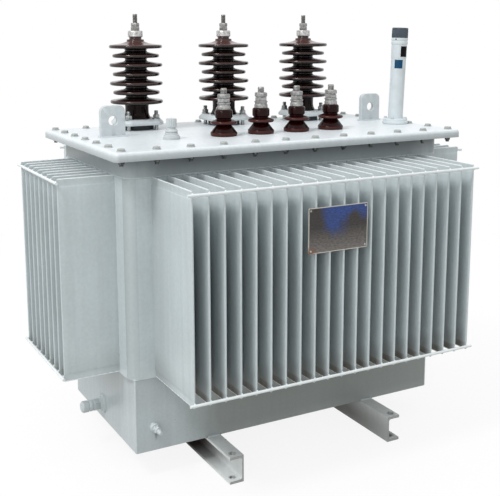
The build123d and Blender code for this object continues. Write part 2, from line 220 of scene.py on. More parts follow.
@dataclass
class Draft:
    """A mesh in the making, in millimetres, with one mark per point that a finish can read.

    The shade is the mark that points get when nothing else marks them.
    """

    points: list[Vector] = field(default_factory=list)
    faces: list[tuple[int, ...]] = field(default_factory=list)
    marks: list[float] = field(default_factory=list)
    shade: float = 0.0

    def skin(self, rings: Sequence[Ring], place: Matrix = Matrix(), mark: Mark | None = None,
             looped: bool = False) -> None:
        """Cover successive rings of points with faces, closed at both ends.

        Args:
            rings: rings with the same number of points.
            place: where the piece's own frame stands in the model.
            mark: gives a point's mark from its place in the piece's own frame.
            looped: whether the last ring joins the first instead of both being capped.
        """
        first = len(self.points)
        size = len(rings[0])
        for ring in rings:
            self.points.extend(place @ point for point in ring)
            self.marks.extend(mark(point) if mark else self.shade for point in ring)
        for row in range(len(rings) if looped else len(rings) - 1):
            low = first + row * size
            high = first + (row + 1) % len(rings) * size
            for index in range(size):
                after = (index + 1) % size
                self.faces.append((low + index, low + after, high + after, high + index))
        if not looped:
            last = len(self.points) - size
            self.faces.append(tuple(range(first + size - 1, first - 1, -1)))
            self.faces.append(tuple(range(last, last + size)))

    def turn(self, corners: Sequence[Corner], place: Matrix, count: int = 48,
             mark: Mark | None = None) -> None:
        """Turn a rounded profile about the upright axis of a place."""
        self.skin([circle(point.x, point.y, count) for point in eased(corners)], place, mark)

    def nut(self, flats: float, bottom: float, top: float, place: Matrix) -> None:
        """Draw a hexagon nut or bolt head with bevelled faces.

        Args:
            flats: its width across flats.
            bottom: the height of its lower face.
            top: the height of its upper face.
            place: where its own frame stands in the model.
        """
        bevel = min(2.0, (top - bottom) * 0.2)
        lower, upper = flats * 0.92, flats * 0.88
        self.skin([hexagon(lower, bottom), hexagon(flats, bottom + bevel), hexagon(flats, top - bevel),
                   hexagon(upper, top)], place)

    def washer(self, radius: float, bottom: float, top: float, place: Matrix) -> None:
        """Draw a flat washer with softened edges, nearly closed at its middle."""
        edge, core = (top - bottom) * 0.3, radius * 0.3
        self.turn([(core, bottom, 0), (radius, bottom, edge), (radius, top, edge), (core, top, 0)], place, 28)

    def thread(self, radius: float, bottom: float, top: float, pitch: float, place: Matrix) -> None:
        """Draw a threaded rod as close rings, with a chamfered end.

        Args:
            radius: the thread's outer radius.
            bottom: the height where it starts.
            top: the height of its end.
            pitch: the distance from ridge to ridge.
            place: where its own frame stands in the model.
        """
        count = 20
        groove, tip = radius * 0.86, radius * 0.84
        rings = [circle(radius, bottom, count)]
        for turn in range(int((top - bottom - radius * 0.2) / pitch)):
            start = bottom + turn * pitch
            rings.append(circle(groove, start + pitch * 0.5, count))
            rings.append(circle(radius, start + pitch * 0.95, count))
        rings.append(circle(tip, top, count))
        self.skin(rings, place)

    def bead(self, path: Sequence[Vector], radius: float, closed: bool, dice: random.Random,
             ripple: float = 3.6) -> None:
        """Lay a rippled weld bead along a path.

        Args:
            path: the path's corners.
            radius: the bead's mean radius.
            closed: whether the bead comes back to its start.
            dice: the source of its uneven swelling.
            ripple: the length of one ripple.
        """
        spots = walk(path, ripple, closed)
        aside = Vector((0.31, 0.17, 0.93))
        ridge, scatter, sides = 0.13, 0.07, 8
        rings = []
        for index, spot in enumerate(spots):
            ahead = spots[(index + 1) % len(spots)] if closed or index + 1 < len(spots) else spot
            behind = spots[index - 1] if closed or index else spot
            heading = (ahead - behind).normalized()
            across = heading.cross(aside).normalized()
            upward = across.cross(heading)
            swell = radius * (1.0 + (ridge if index % 2 else -ridge) + dice.uniform(-scatter, scatter))
            rings.append([spot + (across * math.cos(turn) + upward * math.sin(turn)) * swell
                          for turn in (2.0 * math.pi * step / sides for step in range(sides))])
        self.skin(rings, looped=closed)

    def build(self, name: str, finish: "Finish", slot: str, replaced: Sequence[str] = ()) -> bpy.types.Object:
        """Make the piece, and have it ride on the transformer.

        Args:
            name: the piece's name.
            finish: the finish that covers it.
            slot: the record's material slot for the piece; not used.
            replaced: the CAD nodes that it stands for.

        Returns:
            The new object.
        """
        mesh = bpy.data.meshes.new(name)
        mesh.from_pydata([point * MM for point in self.points], [], self.faces)
        shape = bmesh.new()
        shape.from_mesh(mesh)
        bmesh.ops.recalc_face_normals(shape, faces=shape.faces)
        shape.to_mesh(mesh)
        shape.free()
        mesh.attributes.new(MARK, "FLOAT", "POINT").data.foreach_set("value", self.marks)
        mesh.polygons.foreach_set("use_smooth", [True] * len(mesh.polygons))
        mesh.set_sharp_from_angle(angle=SHARP_ANGLE)
        mesh.materials.append(finish.material())
        piece = bpy.data.objects.new(name, mesh)
        bpy.context.scene.collection.objects.link(piece)
        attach(piece, BODY)
        if replaced:
            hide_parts(*replaced)
        LOG.info("piece %s: %d faces", name, len(mesh.polygons))
        return piece


# Finishes

class Finish(ABC):
    """A surface finish that makes its own material."""

    name: str

    @abstractmethod
    def dress(self, tree: Tree, shader: Node) -> None:
        """Add the finish's nodes to a material.

        Args:
            tree: the material's node tree.
            shader: the shader that the nodes feed.
        """

    def material(self) -> bpy.types.Material:
        """Make the finish's material the first time that it is asked for.

        Returns:
            The material that all pieces with this finish share.
        """
        if self.name in bpy.data.materials:
            return bpy.data.materials[self.name]
        made = bpy.data.materials.new(self.name)
        made.use_nodes = True
        self.dress(made.node_tree, made.node_tree.nodes["Principled BSDF"])
        return made

    def cover(self, *nodes: str) -> None:
        """Put the finish on CAD nodes.

        Args:
            nodes: the nodes' names.
        """
        for node in nodes:
            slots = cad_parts[node].data.materials
            slots.clear()
            slots.append(self.material())
            LOG.info("node %s: %s", node, self.name)


@dataclass(frozen=True)
class StainAndShade:
    """A soft patch of rust or painted shade: its middle, how far it reaches level and upright, its strength
    and its run.

    A run of more than 0 draws the patch out into a band, by that much to either side along X. Lengths are in
    millimetres.
    """

    x: float
    y: float
    z: float
    half_width: float
    length: float
    strength: float = 0.8
    run: float = 0.0


# Alkyd enamel sprayed on welded steel sheet: a satin skin with a faint orange peel that breaks up its
# highlights, clouds and upright streaks of thinner colour, dust on ledges and low between the fins, grime
# near the ground, small spots of rust, and soft patches of painted shade. A mark above 0 is painted shade,
# and one below 0 painted light.
@dataclass(frozen=True)
class SprayedEnamel(Finish):
    """Sprayed alkyd enamel with dust, grime, rust, painted shade and painted light."""

    name: str
    colour: str
    grime: float
    dust: float
    rust_and_shade_runs: tuple[StainAndShade, ...] = ()
    painted_shades: tuple[StainAndShade, ...] = ()
    dust_colour: str = "#85796a"
    grime_and_shade_colour: str = "#8a857a"
    painted_shade_colour: str = "#5f6668"
    painted_shade_share: float = 0.75
    painted_light_colour: str = "#eef3f4"
    rust_and_shade_colour: str = "#6e3f24"
    rust_share: float = 0.7
    rust_rise: float = 400.0
    rust_threshold: tuple[float, float] = (0.705, 0.765)
    rust_edge: float = 0.04
    roughness: float = 0.36
    soiled_roughness: float = 0.85
    cloud_size: float = 190.0
    streak_size: float = 16.0
    streak_length: float = 420.0
    speck_size: float = 9.0
    peel_size: float = 3.2
    peel_depth: float = 0.25
    ground_reach: float = 330.0
    fin_foot: float = 301.0
    foot_dust_rise: float = 95.0
    unevenness: float = 0.07
    cut_ends: float = 0.0

    def dress(self, tree: Tree, shader: Node) -> None:
        """Add the enamel's nodes to a material.

        Args:
            tree: the material's node tree.
            shader: the shader that the nodes feed.
        """
        place = add_node(tree, "ShaderNodeTexCoord").outputs["Object"]
        height = add_node(tree, "ShaderNodeSeparateXYZ", {"Vector": place}).outputs["Z"]
        facing = add_node(tree, "ShaderNodeNewGeometry").outputs["Normal"]
        heading = add_node(tree, "ShaderNodeSeparateXYZ", {"Vector": facing}).outputs
        cloud = add_node(tree, "ShaderNodeTexNoise", {
            "Vector": place, "Scale": per_metre(self.cloud_size), "Detail": 4.0}).outputs[0]
        squeeze = (1.0, 1.0, self.streak_size / self.streak_length)
        drawn = add_node(tree, "ShaderNodeMapping", {"Vector": place, "Scale": squeeze}).outputs[0]
        streak = add_node(tree, "ShaderNodeTexNoise", {
            "Vector": drawn, "Scale": per_metre(self.streak_size), "Detail": 2.0}).outputs[0]
        speck = add_node(tree, "ShaderNodeTexNoise", {
            "Vector": place, "Scale": per_metre(self.speck_size), "Detail": 3.0}).outputs[0]

        # Clouds, streaks and specks shift the colour by a few percent
        blend = add_node(tree, "ShaderNodeMath", {0: cloud, 1: streak}, operation="ADD").outputs[0]
        grainy = add_node(tree, "ShaderNodeMath", {0: blend, 1: speck}, operation="ADD").outputs[0]
        shift = add_node(tree, "ShaderNodeMapRange", {
            "Value": grainy, "From Min": 1.1, "From Max": 1.9,
            "To Min": 1.0 - self.unevenness, "To Max": 1.0 + self.unevenness}).outputs[0]
        tint = add_node(tree, "ShaderNodeVectorMath", {0: linear(self.colour)[:3], "Scale": shift},
                        operation="SCALE").outputs[0]

        # A mark above 0 paints shade deep in a gap, and one below 0 paints light near its top
        marked = add_node(tree, "ShaderNodeAttribute", attribute_name=MARK).outputs["Fac"]
        painted_shading_or_thin_glaze = add_node(tree, "ShaderNodeMath", {0: marked, 1: self.painted_shade_share},
                        operation="MULTIPLY").outputs[0]
        thick = add_node(tree, "ShaderNodeMapRange", {"Value": marked, "From Max": -1.0}).outputs[0]

        # Dust lies on what faces up, and low in the gaps between fins
        level = add_node(tree, "ShaderNodeMapRange", {
            "Value": heading["Z"], "From Min": 0.75, "From Max": 1.0, "To Max": self.dust}).outputs[0]
        laid = add_node(tree, "ShaderNodeMath", {0: level, 1: cloud}, operation="MULTIPLY").outputs[0]
        foot = add_node(tree, "ShaderNodeMapRange", {
            "Value": height, "From Min": (self.fin_foot + self.foot_dust_rise) * MM,
            "From Max": self.fin_foot * MM}).outputs[0]
        settled = add_node(tree, "ShaderNodeMath", {0: foot, 1: marked}, operation="MULTIPLY").outputs[0]
        patchy = add_node(tree, "ShaderNodeMath", {0: settled, 1: blend}, operation="MULTIPLY").outputs[0]
        dusty = add_node(tree, "ShaderNodeMath", {0: laid, 1: patchy}, operation="ADD",
                         use_clamp=True).outputs[0]

        # Grime rises from the ground in patches, and darkens sawn ends, which look along Y
        reach = add_node(tree, "ShaderNodeMapRange", {
            "Value": height, "From Min": self.ground_reach * MM, "From Max": 0.0,
            "To Max": self.grime}).outputs[0]
        risen = add_node(tree, "ShaderNodeMath", {0: reach, 1: blend}, operation="MULTIPLY",
                         use_clamp=True).outputs[0]
        # Soft patches add painted shade
        grime_and_shade = self.stained_and_shaded(tree, place, risen, self.painted_shades)
        if self.cut_ends:
            square = add_node(tree, "ShaderNodeMath", {0: heading["Y"]}, operation="ABSOLUTE").outputs[0]
            sawn = add_node(tree, "ShaderNodeMapRange", {
                "Value": square, "From Min": 0.9, "To Max": self.cut_ends}).outputs[0]
            grime_and_shade = add_node(tree, "ShaderNodeMath", {0: grime_and_shade, 1: sawn}, operation="MAXIMUM").outputs[0]

        # Rust shows as rare specks, more of them near the ground, and as runs below fittings
        low, high = self.rust_threshold
        start = add_node(tree, "ShaderNodeMapRange", {
            "Value": height, "From Max": self.rust_rise * MM, "To Min": low, "To Max": high}).outputs[0]
        over = add_node(tree, "ShaderNodeMath", {0: speck, 1: start}, operation="SUBTRACT").outputs[0]
        specks = add_node(tree, "ShaderNodeMapRange", {
            "Value": over, "From Max": self.rust_edge, "To Max": self.rust_share}).outputs[0]
        # On the skids, the runs also paint shade under the tank and darken round the bolt holes
        rusty = self.stained_and_shaded(tree, place, specks, self.rust_and_shade_runs)

        # Each layer covers the ones before it by its own amount
        layers = ((painted_shading_or_thin_glaze, self.painted_shade_colour), (thick, self.painted_light_colour), (dusty, self.dust_colour),
                  (grime_and_shade, self.grime_and_shade_colour), (rusty, self.rust_and_shade_colour))
        skin = tint
        for amount, colour in layers:
            skin = add_node(tree, "ShaderNodeMix", {0: amount, MIX_A: skin, MIX_B: linear(colour)},
                            data_type="RGBA").outputs[MIX_OUT]
        tree.links.new(skin, shader.inputs["Base Color"])

        # Dust and rust, with the painted shade in the skids' runs, dull the gloss
        dull = add_node(tree, "ShaderNodeMath", {0: dusty, 1: rusty}, operation="MAXIMUM").outputs[0]
        rough = add_node(tree, "ShaderNodeMapRange", {
            "Value": dull, "To Min": self.roughness, "To Max": self.soiled_roughness}).outputs[0]
        tree.links.new(rough, shader.inputs["Roughness"])
        peel = add_node(tree, "ShaderNodeTexNoise", {
            "Vector": place, "Scale": per_metre(self.peel_size), "Detail": 2.0}).outputs[0]
        bump = add_node(tree, "ShaderNodeBump", {
            "Height": peel, "Strength": 0.25, "Distance": self.peel_depth * MM}).outputs[0]
        tree.links.new(bump, shader.inputs["Normal"])

    def stained_and_shaded(self, tree: Tree, place: Socket, start: Socket, stains_and_shades: Sequence[StainAndShade]) -> Socket:
        """Lay soft patches of rust and of painted shade over the amount so far.

        Args:
            tree: the node tree that gets the nodes.
            place: the place's socket.
            start: the socket with the amount so far.
            stains_and_shades: the patches to lay.

        Returns:
            The socket with the larger of both amounts at each place.
        """
        amount = start
        for stain_or_shade in stains_and_shades:
            middle = (stain_or_shade.x * MM, stain_or_shade.y * MM, stain_or_shade.z * MM)
            moved = add_node(tree, "ShaderNodeVectorMath", {0: place, 1: middle},
                             operation="SUBTRACT").outputs[0]
            if stain_or_shade.run:
                along = moved
                for end, limit in ((-stain_or_shade.run, "MAXIMUM"), (stain_or_shade.run, "MINIMUM")):
                    along = add_node(tree, "ShaderNodeVectorMath", {0: along, 1: (end * MM, 0.0, 0.0)},
                                     operation=limit).outputs[0]
                moved = add_node(tree, "ShaderNodeVectorMath", {0: moved, 1: along},
                                 operation="SUBTRACT").outputs[0]
            wide, tall = per_metre(stain_or_shade.half_width), per_metre(stain_or_shade.length)
            shaped = add_node(tree, "ShaderNodeVectorMath", {0: moved, 1: (wide, wide, tall)},
                              operation="MULTIPLY").outputs[0]
            away = add_node(tree, "ShaderNodeVectorMath", {0: shaped}, operation="LENGTH").outputs["Value"]
            laid = add_node(tree, "ShaderNodeMapRange", {
                "Value": away, "From Min": 1.0, "From Max": 0.2, "To Max": stain_or_shade.strength}).outputs[0]
            amount = add_node(tree, "ShaderNodeMath", {0: amount, 1: laid}, operation="MAXIMUM").outputs[0]
        return amount


# Electrical porcelain under a fired iron glaze: deep, wet gloss over a dark body, redder and paler where it
# is marked, with thinner glaze and a painted highlight on a lip and painted light on a crown, and with faint
# mottling from the kiln.
@dataclass(frozen=True)
class GlazedPorcelain(Finish):
    """Glazed electrical porcelain."""

    name: str
    colour: str
    thin_and_lit_colour: str
    shine: float
    mottle_size: float = 14.0
    mottle_share: float = 0.1
    ripple_depth: float = 0.4
    index: float = 1.52

    def dress(self, tree: Tree, shader: Node) -> None:
        """Add the glaze's nodes to a material.

        Args:
            tree: the material's node tree.
            shader: the shader that the nodes feed.
        """
        place = add_node(tree, "ShaderNodeTexCoord").outputs["Object"]
        mottle = add_node(tree, "ShaderNodeTexNoise", {
            "Vector": place, "Scale": per_metre(self.mottle_size), "Detail": 5.0}).outputs[0]
        # The marked colour is partly thinner glaze and partly painted highlight and painted light
        marked = add_node(tree, "ShaderNodeAttribute", attribute_name=MARK).outputs["Fac"]
        uneven = add_node(tree, "ShaderNodeMapRange", {
            "Value": mottle, "From Min": 0.3, "From Max": 0.7, "To Max": self.mottle_share}).outputs[0]
        painted_shading_or_thin_glaze = add_node(tree, "ShaderNodeMath", {0: marked, 1: uneven}, operation="ADD",
                        use_clamp=True).outputs[0]
        glaze = add_node(tree, "ShaderNodeMix", {
            0: painted_shading_or_thin_glaze, MIX_A: linear(self.colour), MIX_B: linear(self.thin_and_lit_colour)}, data_type="RGBA")
        tree.links.new(glaze.outputs[MIX_OUT], shader.inputs["Base Color"])
        rough = add_node(tree, "ShaderNodeMapRange", {
            "Value": mottle, "To Min": 0.06, "To Max": 0.18}).outputs[0]
        tree.links.new(rough, shader.inputs["Roughness"])
        ripple = add_node(tree, "ShaderNodeBump", {
            "Height": mottle, "Strength": 0.12, "Distance": self.ripple_depth * MM}).outputs[0]
        tree.links.new(ripple, shader.inputs["Normal"])
        shader.inputs["IOR"].default_value = self.index
        shader.inputs["Specular IOR Level"].default_value = self.shine


# Metal with a thin plated or rolled skin: grey, half dull, with cloudy tarnish and turning lines, and darker
# where a piece is marked as worn. Real lines are well under a millimetre apart, and these are drawn coarser
# so that they show.
@dataclass(frozen=True)
class DullMetal(Finish):
    """Plated metal that has dulled in the weather."""

    name: str
    colour: str
    tarnish: str
    roughness: float
    worn: str = "#55504a"
    tarnish_size: float = 7.0
    line_size: float = 1.4
    line_depth: float = 0.1
    line_squeeze: float = 0.08

    def dress(self, tree: Tree, shader: Node) -> None:
        """Add the metal's nodes to a material.

        Args:
            tree: the material's node tree.
            shader: the shader that the nodes feed.
        """
        place = add_node(tree, "ShaderNodeTexCoord").outputs["Object"]
        cloud = add_node(tree, "ShaderNodeTexNoise", {
            "Vector": place, "Scale": per_metre(self.tarnish_size), "Detail": 4.0}).outputs[0]
        patch = add_node(tree, "ShaderNodeMapRange", {
            "Value": cloud, "From Min": 0.42, "From Max": 0.68}).outputs[0]
        marked = add_node(tree, "ShaderNodeAttribute", attribute_name=MARK).outputs["Fac"]
        skin = linear(self.colour)
        for amount, colour in ((patch, self.tarnish), (marked, self.worn)):
            skin = add_node(tree, "ShaderNodeMix", {0: amount, MIX_A: skin, MIX_B: linear(colour)},
                            data_type="RGBA").outputs[MIX_OUT]
        tree.links.new(skin, shader.inputs["Base Color"])
        rough = add_node(tree, "ShaderNodeMapRange", {
            "Value": cloud, "To Min": self.roughness - 0.1, "To Max": self.roughness + 0.15}).outputs[0]
        tree.links.new(rough, shader.inputs["Roughness"])
        squeeze = (self.line_squeeze, self.line_squeeze, 1.0)
        flat = add_node(tree, "ShaderNodeMapping", {"Vector": place, "Scale": squeeze}).outputs[0]
        lines = add_node(tree, "ShaderNodeTexNoise", {
            "Vector": flat, "Scale": per_metre(self.line_size)}).outputs[0]
        bump = add_node(tree, "ShaderNodeBump", {
            "Height": lines, "Strength": 0.2, "Distance": self.line_depth * MM}).outputs[0]
        tree.links.new(bump, shader.inputs["Normal"])
        shader.inputs["Metallic"].default_value = 1.0


# Moulded plastic or rubber: an even body with faint flow clouds, a moulded grain and a little soil. Real
# grain is finer than a millimetre, and this is drawn coarser so that it shows.
@dataclass(frozen=True)
class Moulded(Finish):
    """Moulded plastic or rubber."""

    name: str
    colour: str
    soil_colour: str
    soil: float
    roughness: float
    shine: float = 0.5
    grain_size: float = 1.6
    grain_depth: float = 0.15
    cloud_size: float = 45.0

    def dress(self, tree: Tree, shader: Node) -> None:
        """Add the moulding's nodes to a material.

        Args:
            tree: the material's node tree.
            shader: the shader that the nodes feed.
        """
        place = add_node(tree, "ShaderNodeTexCoord").outputs["Object"]
        cloud = add_node(tree, "ShaderNodeTexNoise", {
            "Vector": place, "Scale": per_metre(self.cloud_size), "Detail": 5.0}).outputs[0]
        soiled = add_node(tree, "ShaderNodeMapRange", {
            "Value": cloud, "From Min": 0.45, "From Max": 0.75, "To Max": self.soil}).outputs[0]
        body = add_node(tree, "ShaderNodeMix", {
            0: soiled, MIX_A: linear(self.colour), MIX_B: linear(self.soil_colour)}, data_type="RGBA")
        tree.links.new(body.outputs[MIX_OUT], shader.inputs["Base Color"])
        rough = add_node(tree, "ShaderNodeMapRange", {
            "Value": cloud, "To Min": self.roughness - 0.06, "To Max": self.roughness + 0.1}).outputs[0]
        tree.links.new(rough, shader.inputs["Roughness"])
        grain = add_node(tree, "ShaderNodeTexNoise", {
            "Vector": place, "Scale": per_metre(self.grain_size)}).outputs[0]
        bump = add_node(tree, "ShaderNodeBump", {
            "Height": grain, "Strength": 0.15, "Distance": self.grain_depth * MM}).outputs[0]
        tree.links.new(bump, shader.inputs["Normal"])
        shader.inputs["Specular IOR Level"].default_value = self.shine


# Etched aluminium with a dark lacquer, left bare: part mirror, a dark warm grey with cloudy blue washes,
# paler in its lower half, with scratches along X and rust at the lower left corner. The marked border is bare
# metal. Real scratches are far finer, and these are drawn coarser so that they show.
@dataclass(frozen=True)
class LacqueredPlate(Finish):
    """A bare lacquered rating plate."""

    name: str
    washes: tuple[tuple[float, float, float, float], ...]
    rust_corner: tuple[float, float]
    paler: tuple[float, float]
    colour: str = "#363331"
    pale: str = "#6b6764"
    blue: str = "#2b437d"
    border: str = "#c4c0b7"
    rust: str = "#7a4a26"
    wash_share: float = 0.85
    rust_share: float = 0.8
    rust_reach: float = 34.0
    cloud_size: float = 34.0
    scratch_size: float = 3.2
    scratch_length: float = 9.0
    metal_share: float = 0.35

    def dress(self, tree: Tree, shader: Node) -> None:
        """Add the plate's nodes to a material.

        Args:
            tree: the material's node tree.
            shader: the shader that the nodes feed.
        """
        place = add_node(tree, "ShaderNodeTexCoord").outputs["Object"]
        cloud = add_node(tree, "ShaderNodeTexNoise", {
            "Vector": place, "Scale": per_metre(self.cloud_size), "Detail": 5.0}).outputs[0]
        squeeze = (self.scratch_size / self.scratch_length, 1.0, 1.0)
        drawn = add_node(tree, "ShaderNodeMapping", {"Vector": place, "Scale": squeeze}).outputs[0]
        scratch = add_node(tree, "ShaderNodeTexNoise", {
            "Vector": drawn, "Scale": per_metre(self.scratch_size), "Detail": 3.0}).outputs[0]

        # The lower half is paler, and the blue washes are uneven at their edges
        height = add_node(tree, "ShaderNodeSeparateXYZ", {"Vector": place}).outputs["Z"]
        low = add_node(tree, "ShaderNodeMapRange", {
            "Value": height, "From Min": self.paler[1] * MM, "From Max": self.paler[0] * MM}).outputs[0]
        layers = [(low, self.pale)]
        for x, z, reach_x, reach_z in self.washes:
            away = self.distance(tree, place, (x, z), (reach_x, reach_z))
            ragged = add_node(tree, "ShaderNodeMath", {0: away, 1: cloud}, operation="SUBTRACT").outputs[0]
            washed = add_node(tree, "ShaderNodeMapRange", {
                "Value": ragged, "From Min": 0.6, "From Max": 0.0, "To Max": self.wash_share}).outputs[0]
            layers.append((washed, self.blue))
        body = linear(self.colour)
        for amount, colour in layers:
            body = add_node(tree, "ShaderNodeMix", {0: amount, MIX_A: body, MIX_B: linear(colour)},
                            data_type="RGBA").outputs[MIX_OUT]
        tone = add_node(tree, "ShaderNodeMapRange", {
            "Value": scratch, "From Min": 0.3, "From Max": 0.75, "To Min": 0.7, "To Max": 1.7}).outputs[0]
        streaked = add_node(tree, "ShaderNodeVectorMath", {0: body, "Scale": tone},
                            operation="SCALE").outputs[0]

        # Bare border, and rust that spreads from the corner
        marked = add_node(tree, "ShaderNodeAttribute", attribute_name=MARK).outputs["Fac"]
        near = self.distance(tree, place, self.rust_corner, (self.rust_reach, self.rust_reach))
        bitten = add_node(tree, "ShaderNodeMath", {0: near, 1: cloud}, operation="ADD").outputs[0]
        rusty = add_node(tree, "ShaderNodeMapRange", {
            "Value": bitten, "From Min": 1.3, "From Max": 0.7, "To Max": self.rust_share}).outputs[0]
        aged = streaked
        for amount, colour in ((marked, self.border), (rusty, self.rust)):
            aged = add_node(tree, "ShaderNodeMix", {0: amount, MIX_A: aged, MIX_B: linear(colour)},
                            data_type="RGBA").outputs[MIX_OUT]
        tree.links.new(aged, shader.inputs["Base Color"])
        rough = add_node(tree, "ShaderNodeMapRange", {
            "Value": scratch, "To Min": 0.25, "To Max": 0.6}).outputs[0]
        tree.links.new(rough, shader.inputs["Roughness"])
        shader.inputs["Metallic"].default_value = self.metal_share

    def distance(self, tree: Tree, place: Socket, middle: tuple[float, float],
                 reach: tuple[float, float]) -> Socket:
        """Measure how far a place is from a spot on the plate, as a share of a reach.

        Args:
            tree: the node tree that gets the nodes.
            place: the place's socket.
            middle: the spot along X and Z, in millimetres.
            reach: the distances along X and Z that count as 1.

        Returns:
            The socket with the measured share.
        """
        spot = (middle[0] * MM, 0.0, middle[1] * MM)
        moved = add_node(tree, "ShaderNodeVectorMath", {0: place, 1: spot}, operation="SUBTRACT").outputs[0]
        spread = (per_metre(reach[0]), 0.0, per_metre(reach[1]))
        shaped = add_node(tree, "ShaderNodeVectorMath", {0: moved, 1: spread},
                          operation="MULTIPLY").outputs[0]
        return add_node(tree, "ShaderNodeVectorMath", {0: shaped}, operation="LENGTH").outputs["Value"]


# Where rust, painted shade and darker hole marks lie on the tank, the lid and the skids
SKID_HOLE_X, SKID_HOLE_Y = 275.0, 383.0
ALL_ROUND = 9000.0
EARTH_RUN = StainAndShade(-452.0, -260.0, 128.0, 6.0, 22.0, 0.55)
# Painted shade on the left skid under the tank, then darker marks round each bolt hole
SKID_SHADE_AND_HOLES = (
    StainAndShade(-SKID_HOLE_X, -120.0, 25.0, 205.0, 120.0, 0.97),
    *(StainAndShade(x, y, 40.0, 13.5, 300.0, 0.95)
      for x in (-SKID_HOLE_X, SKID_HOLE_X) for y in (-SKID_HOLE_Y, SKID_HOLE_Y)),
)
# Painted shade on the right skid's web under the lower box
SKID_WEB_SHADE = tuple(StainAndShade(252.0, y, 24.0, 420.0, 80.0, 0.95) for y in (-120.0, 120.0))
# Painted shade on the lower box under the fin banks, on the front, the back and the left
BASE_SHADE = (
    *(StainAndShade(145.0, y, 150.0, 175.0, 200.0, 0.7, 370.0) for y in (-262.0, 262.0)),
    StainAndShade(-515.0, -60.0, 297.0, 330.0, 170.0, 0.35),
    StainAndShade(-515.0, 190.0, 290.0, 120.0, 80.0, 0.45),
)
# Painted shade down the wall's four rounded corners
WALL_BEND_SHADE = tuple(StainAndShade(x, y, 580.0, 90.0, 900.0, 0.65) for x in (-530.0, 530.0) for y in (-205.0, 205.0))
# Painted shade on the lower part of the cover's rim
LID_RIM_SHADE = (StainAndShade(0.0, 0.0, 912.0, ALL_ROUND, 27.0, 0.85),)
# Painted shade on the collar under the cover's rim, deeper along the front and back
COLLAR_RIM_SHADE = (
    StainAndShade(0.0, 0.0, 916.0, ALL_ROUND, 66.0, 0.7),
    *(StainAndShade(0.0, y, 906.0, 150.0, 70.0, 0.95, 400.0) for y in (-300.0, 300.0)),
)

TANK_ENAMEL = SprayedEnamel("sprayed_enamel_tank", "#c0cacd", 0.12, 0.1, dust_colour="#695f54")
WALL_ENAMEL = SprayedEnamel("sprayed_enamel_wall", "#c0cacd", 0.12, 0.1, painted_shades=WALL_BEND_SHADE,
                            grime_and_shade_colour="#868e8f")
# The collar and flange take a darker copy of the tank's grey, as painted shade under the cover's rim
COLLAR_SHADED_ENAMEL = SprayedEnamel("sprayed_enamel_collar_shaded", "#b4bdc0", 0.1, 0.1, painted_shades=COLLAR_RIM_SHADE,
                              grime_and_shade_colour="#6f7779")
BASE_ENAMEL = SprayedEnamel("sprayed_enamel_lower_box", "#bfc9cd", 0.1, 0.1, (EARTH_RUN,), BASE_SHADE,
                            grime_and_shade_colour="#787c75", rust_and_shade_colour="#4a3a30", unevenness=0.08)
# The skids take a lighter copy of the tank's grey, as painted light
SKID_LIT_ENAMEL = SprayedEnamel("sprayed_enamel_skids_lit", "#e9eeee", 0.05, 0.0, SKID_SHADE_AND_HOLES, SKID_WEB_SHADE,
                            grime_and_shade_colour="#585651", rust_and_shade_colour="#301c15", speck_size=14.0, cut_ends=0.6)
# The tie rods and the fins' welds take a lighter copy of the tank's grey, as painted highlight
ROD_LIT_ENAMEL = SprayedEnamel("sprayed_enamel_rods_lit", "#e2e8ea", 0.0, 0.05)
# The cover takes a lighter copy of the tank's grey, as painted light from above
LID_LIT_ENAMEL = SprayedEnamel("sprayed_enamel_lid_lit", "#dfe6ea", 0.0, 0.02, painted_shades=LID_RIM_SHADE,
                           grime_and_shade_colour="#a2aaad")
BOLT_ENAMEL = SprayedEnamel("sprayed_enamel_bolts", "#b2b7b5", 0.0, 0.4, dust_colour="#8d8478")
COVER_ENAMEL = SprayedEnamel("sprayed_enamel_fittings", "#c6ced1", 0.0, 0.04)
BROWN_GLAZE = GlazedPorcelain("glazed_porcelain_brown", "#110504", "#52332f", 0.45)
DULL_GLAZE = GlazedPorcelain("glazed_porcelain_brown_necks", "#140605", "#3a2522", 0.12)
RED_GLAZE = GlazedPorcelain("glazed_porcelain_red", "#1c0303", "#4d2b28", 0.14)
TINNED_BRASS = DullMetal("tinned_brass", "#cdcdcd", "#a09f9d", 0.42)
WEATHERED_TIN = DullMetal("weathered_tinned_brass", "#b0b0af", "#8d8c8a", 0.58)
ZINC_STEEL = DullMetal("zinc_plated_steel", "#b6baba", "#858886", 0.45)
# The nuts under the flange take a darker grey metal, as painted shade
SHADED_STEEL = DullMetal("shaded_steel_studs", "#7b7e7e", "#4a4b4b", 0.5)
WHITE_PVC = Moulded("moulded_pvc_white", "#d2dbdf", "#aeb6b6", 0.35, 0.36)
GREY_PVC = Moulded("moulded_pvc_grey", "#c1c7c9", "#a8adaf", 0.5, 0.4)
GREY_ABS = Moulded("moulded_abs_grey", "#46525d", "#333c45", 0.6, 0.48)
BLACK_GLASS = Moulded("tinted_sight_glass", "#060508", "#0d0b0e", 0.4, 0.3, 0.1)
BLUE_FILM = Moulded("blue_vinyl_film", "#13486a", "#0f3852", 0.7, 0.4, 0.2)
SEAL_RUBBER = Moulded("nitrile_rubber", "#303336", "#474745", 0.6, 0.7)


# Sub-assemblies

class Side(Enum):
    """A side of the tank, and how far the front is turned about the upright axis to face it."""

    FRONT = 0.0
    RIGHT = 90.0
    BACK = 180.0
    LEFT = 270.0

    @property
    def label(self) -> str:
        """Give the side's name as the CAD nodes write it."""
        return self.name.lower()

    @property
    def turn(self) -> Matrix:
        """Give the turn that takes the front to this side."""
        return Matrix.Rotation(math.radians(self.value), 4, "Z")

    def span(self, node: str) -> tuple[float, float, float]:
        """Measure a CAD node of this side as if it stood at the front.

        Args:
            node: the node's name.

        Returns:
            Its run along the wall, and how far its back and its face are from the middle of the tank.
        """
        low, high = box_mm(node)
        corners = [self.turn.inverted() @ corner for corner in (low, high)]
        runs = sorted(corner.x for corner in corners)
        depths = sorted(-corner.y for corner in corners)
        return runs[1] - runs[0], depths[0], depths[1]


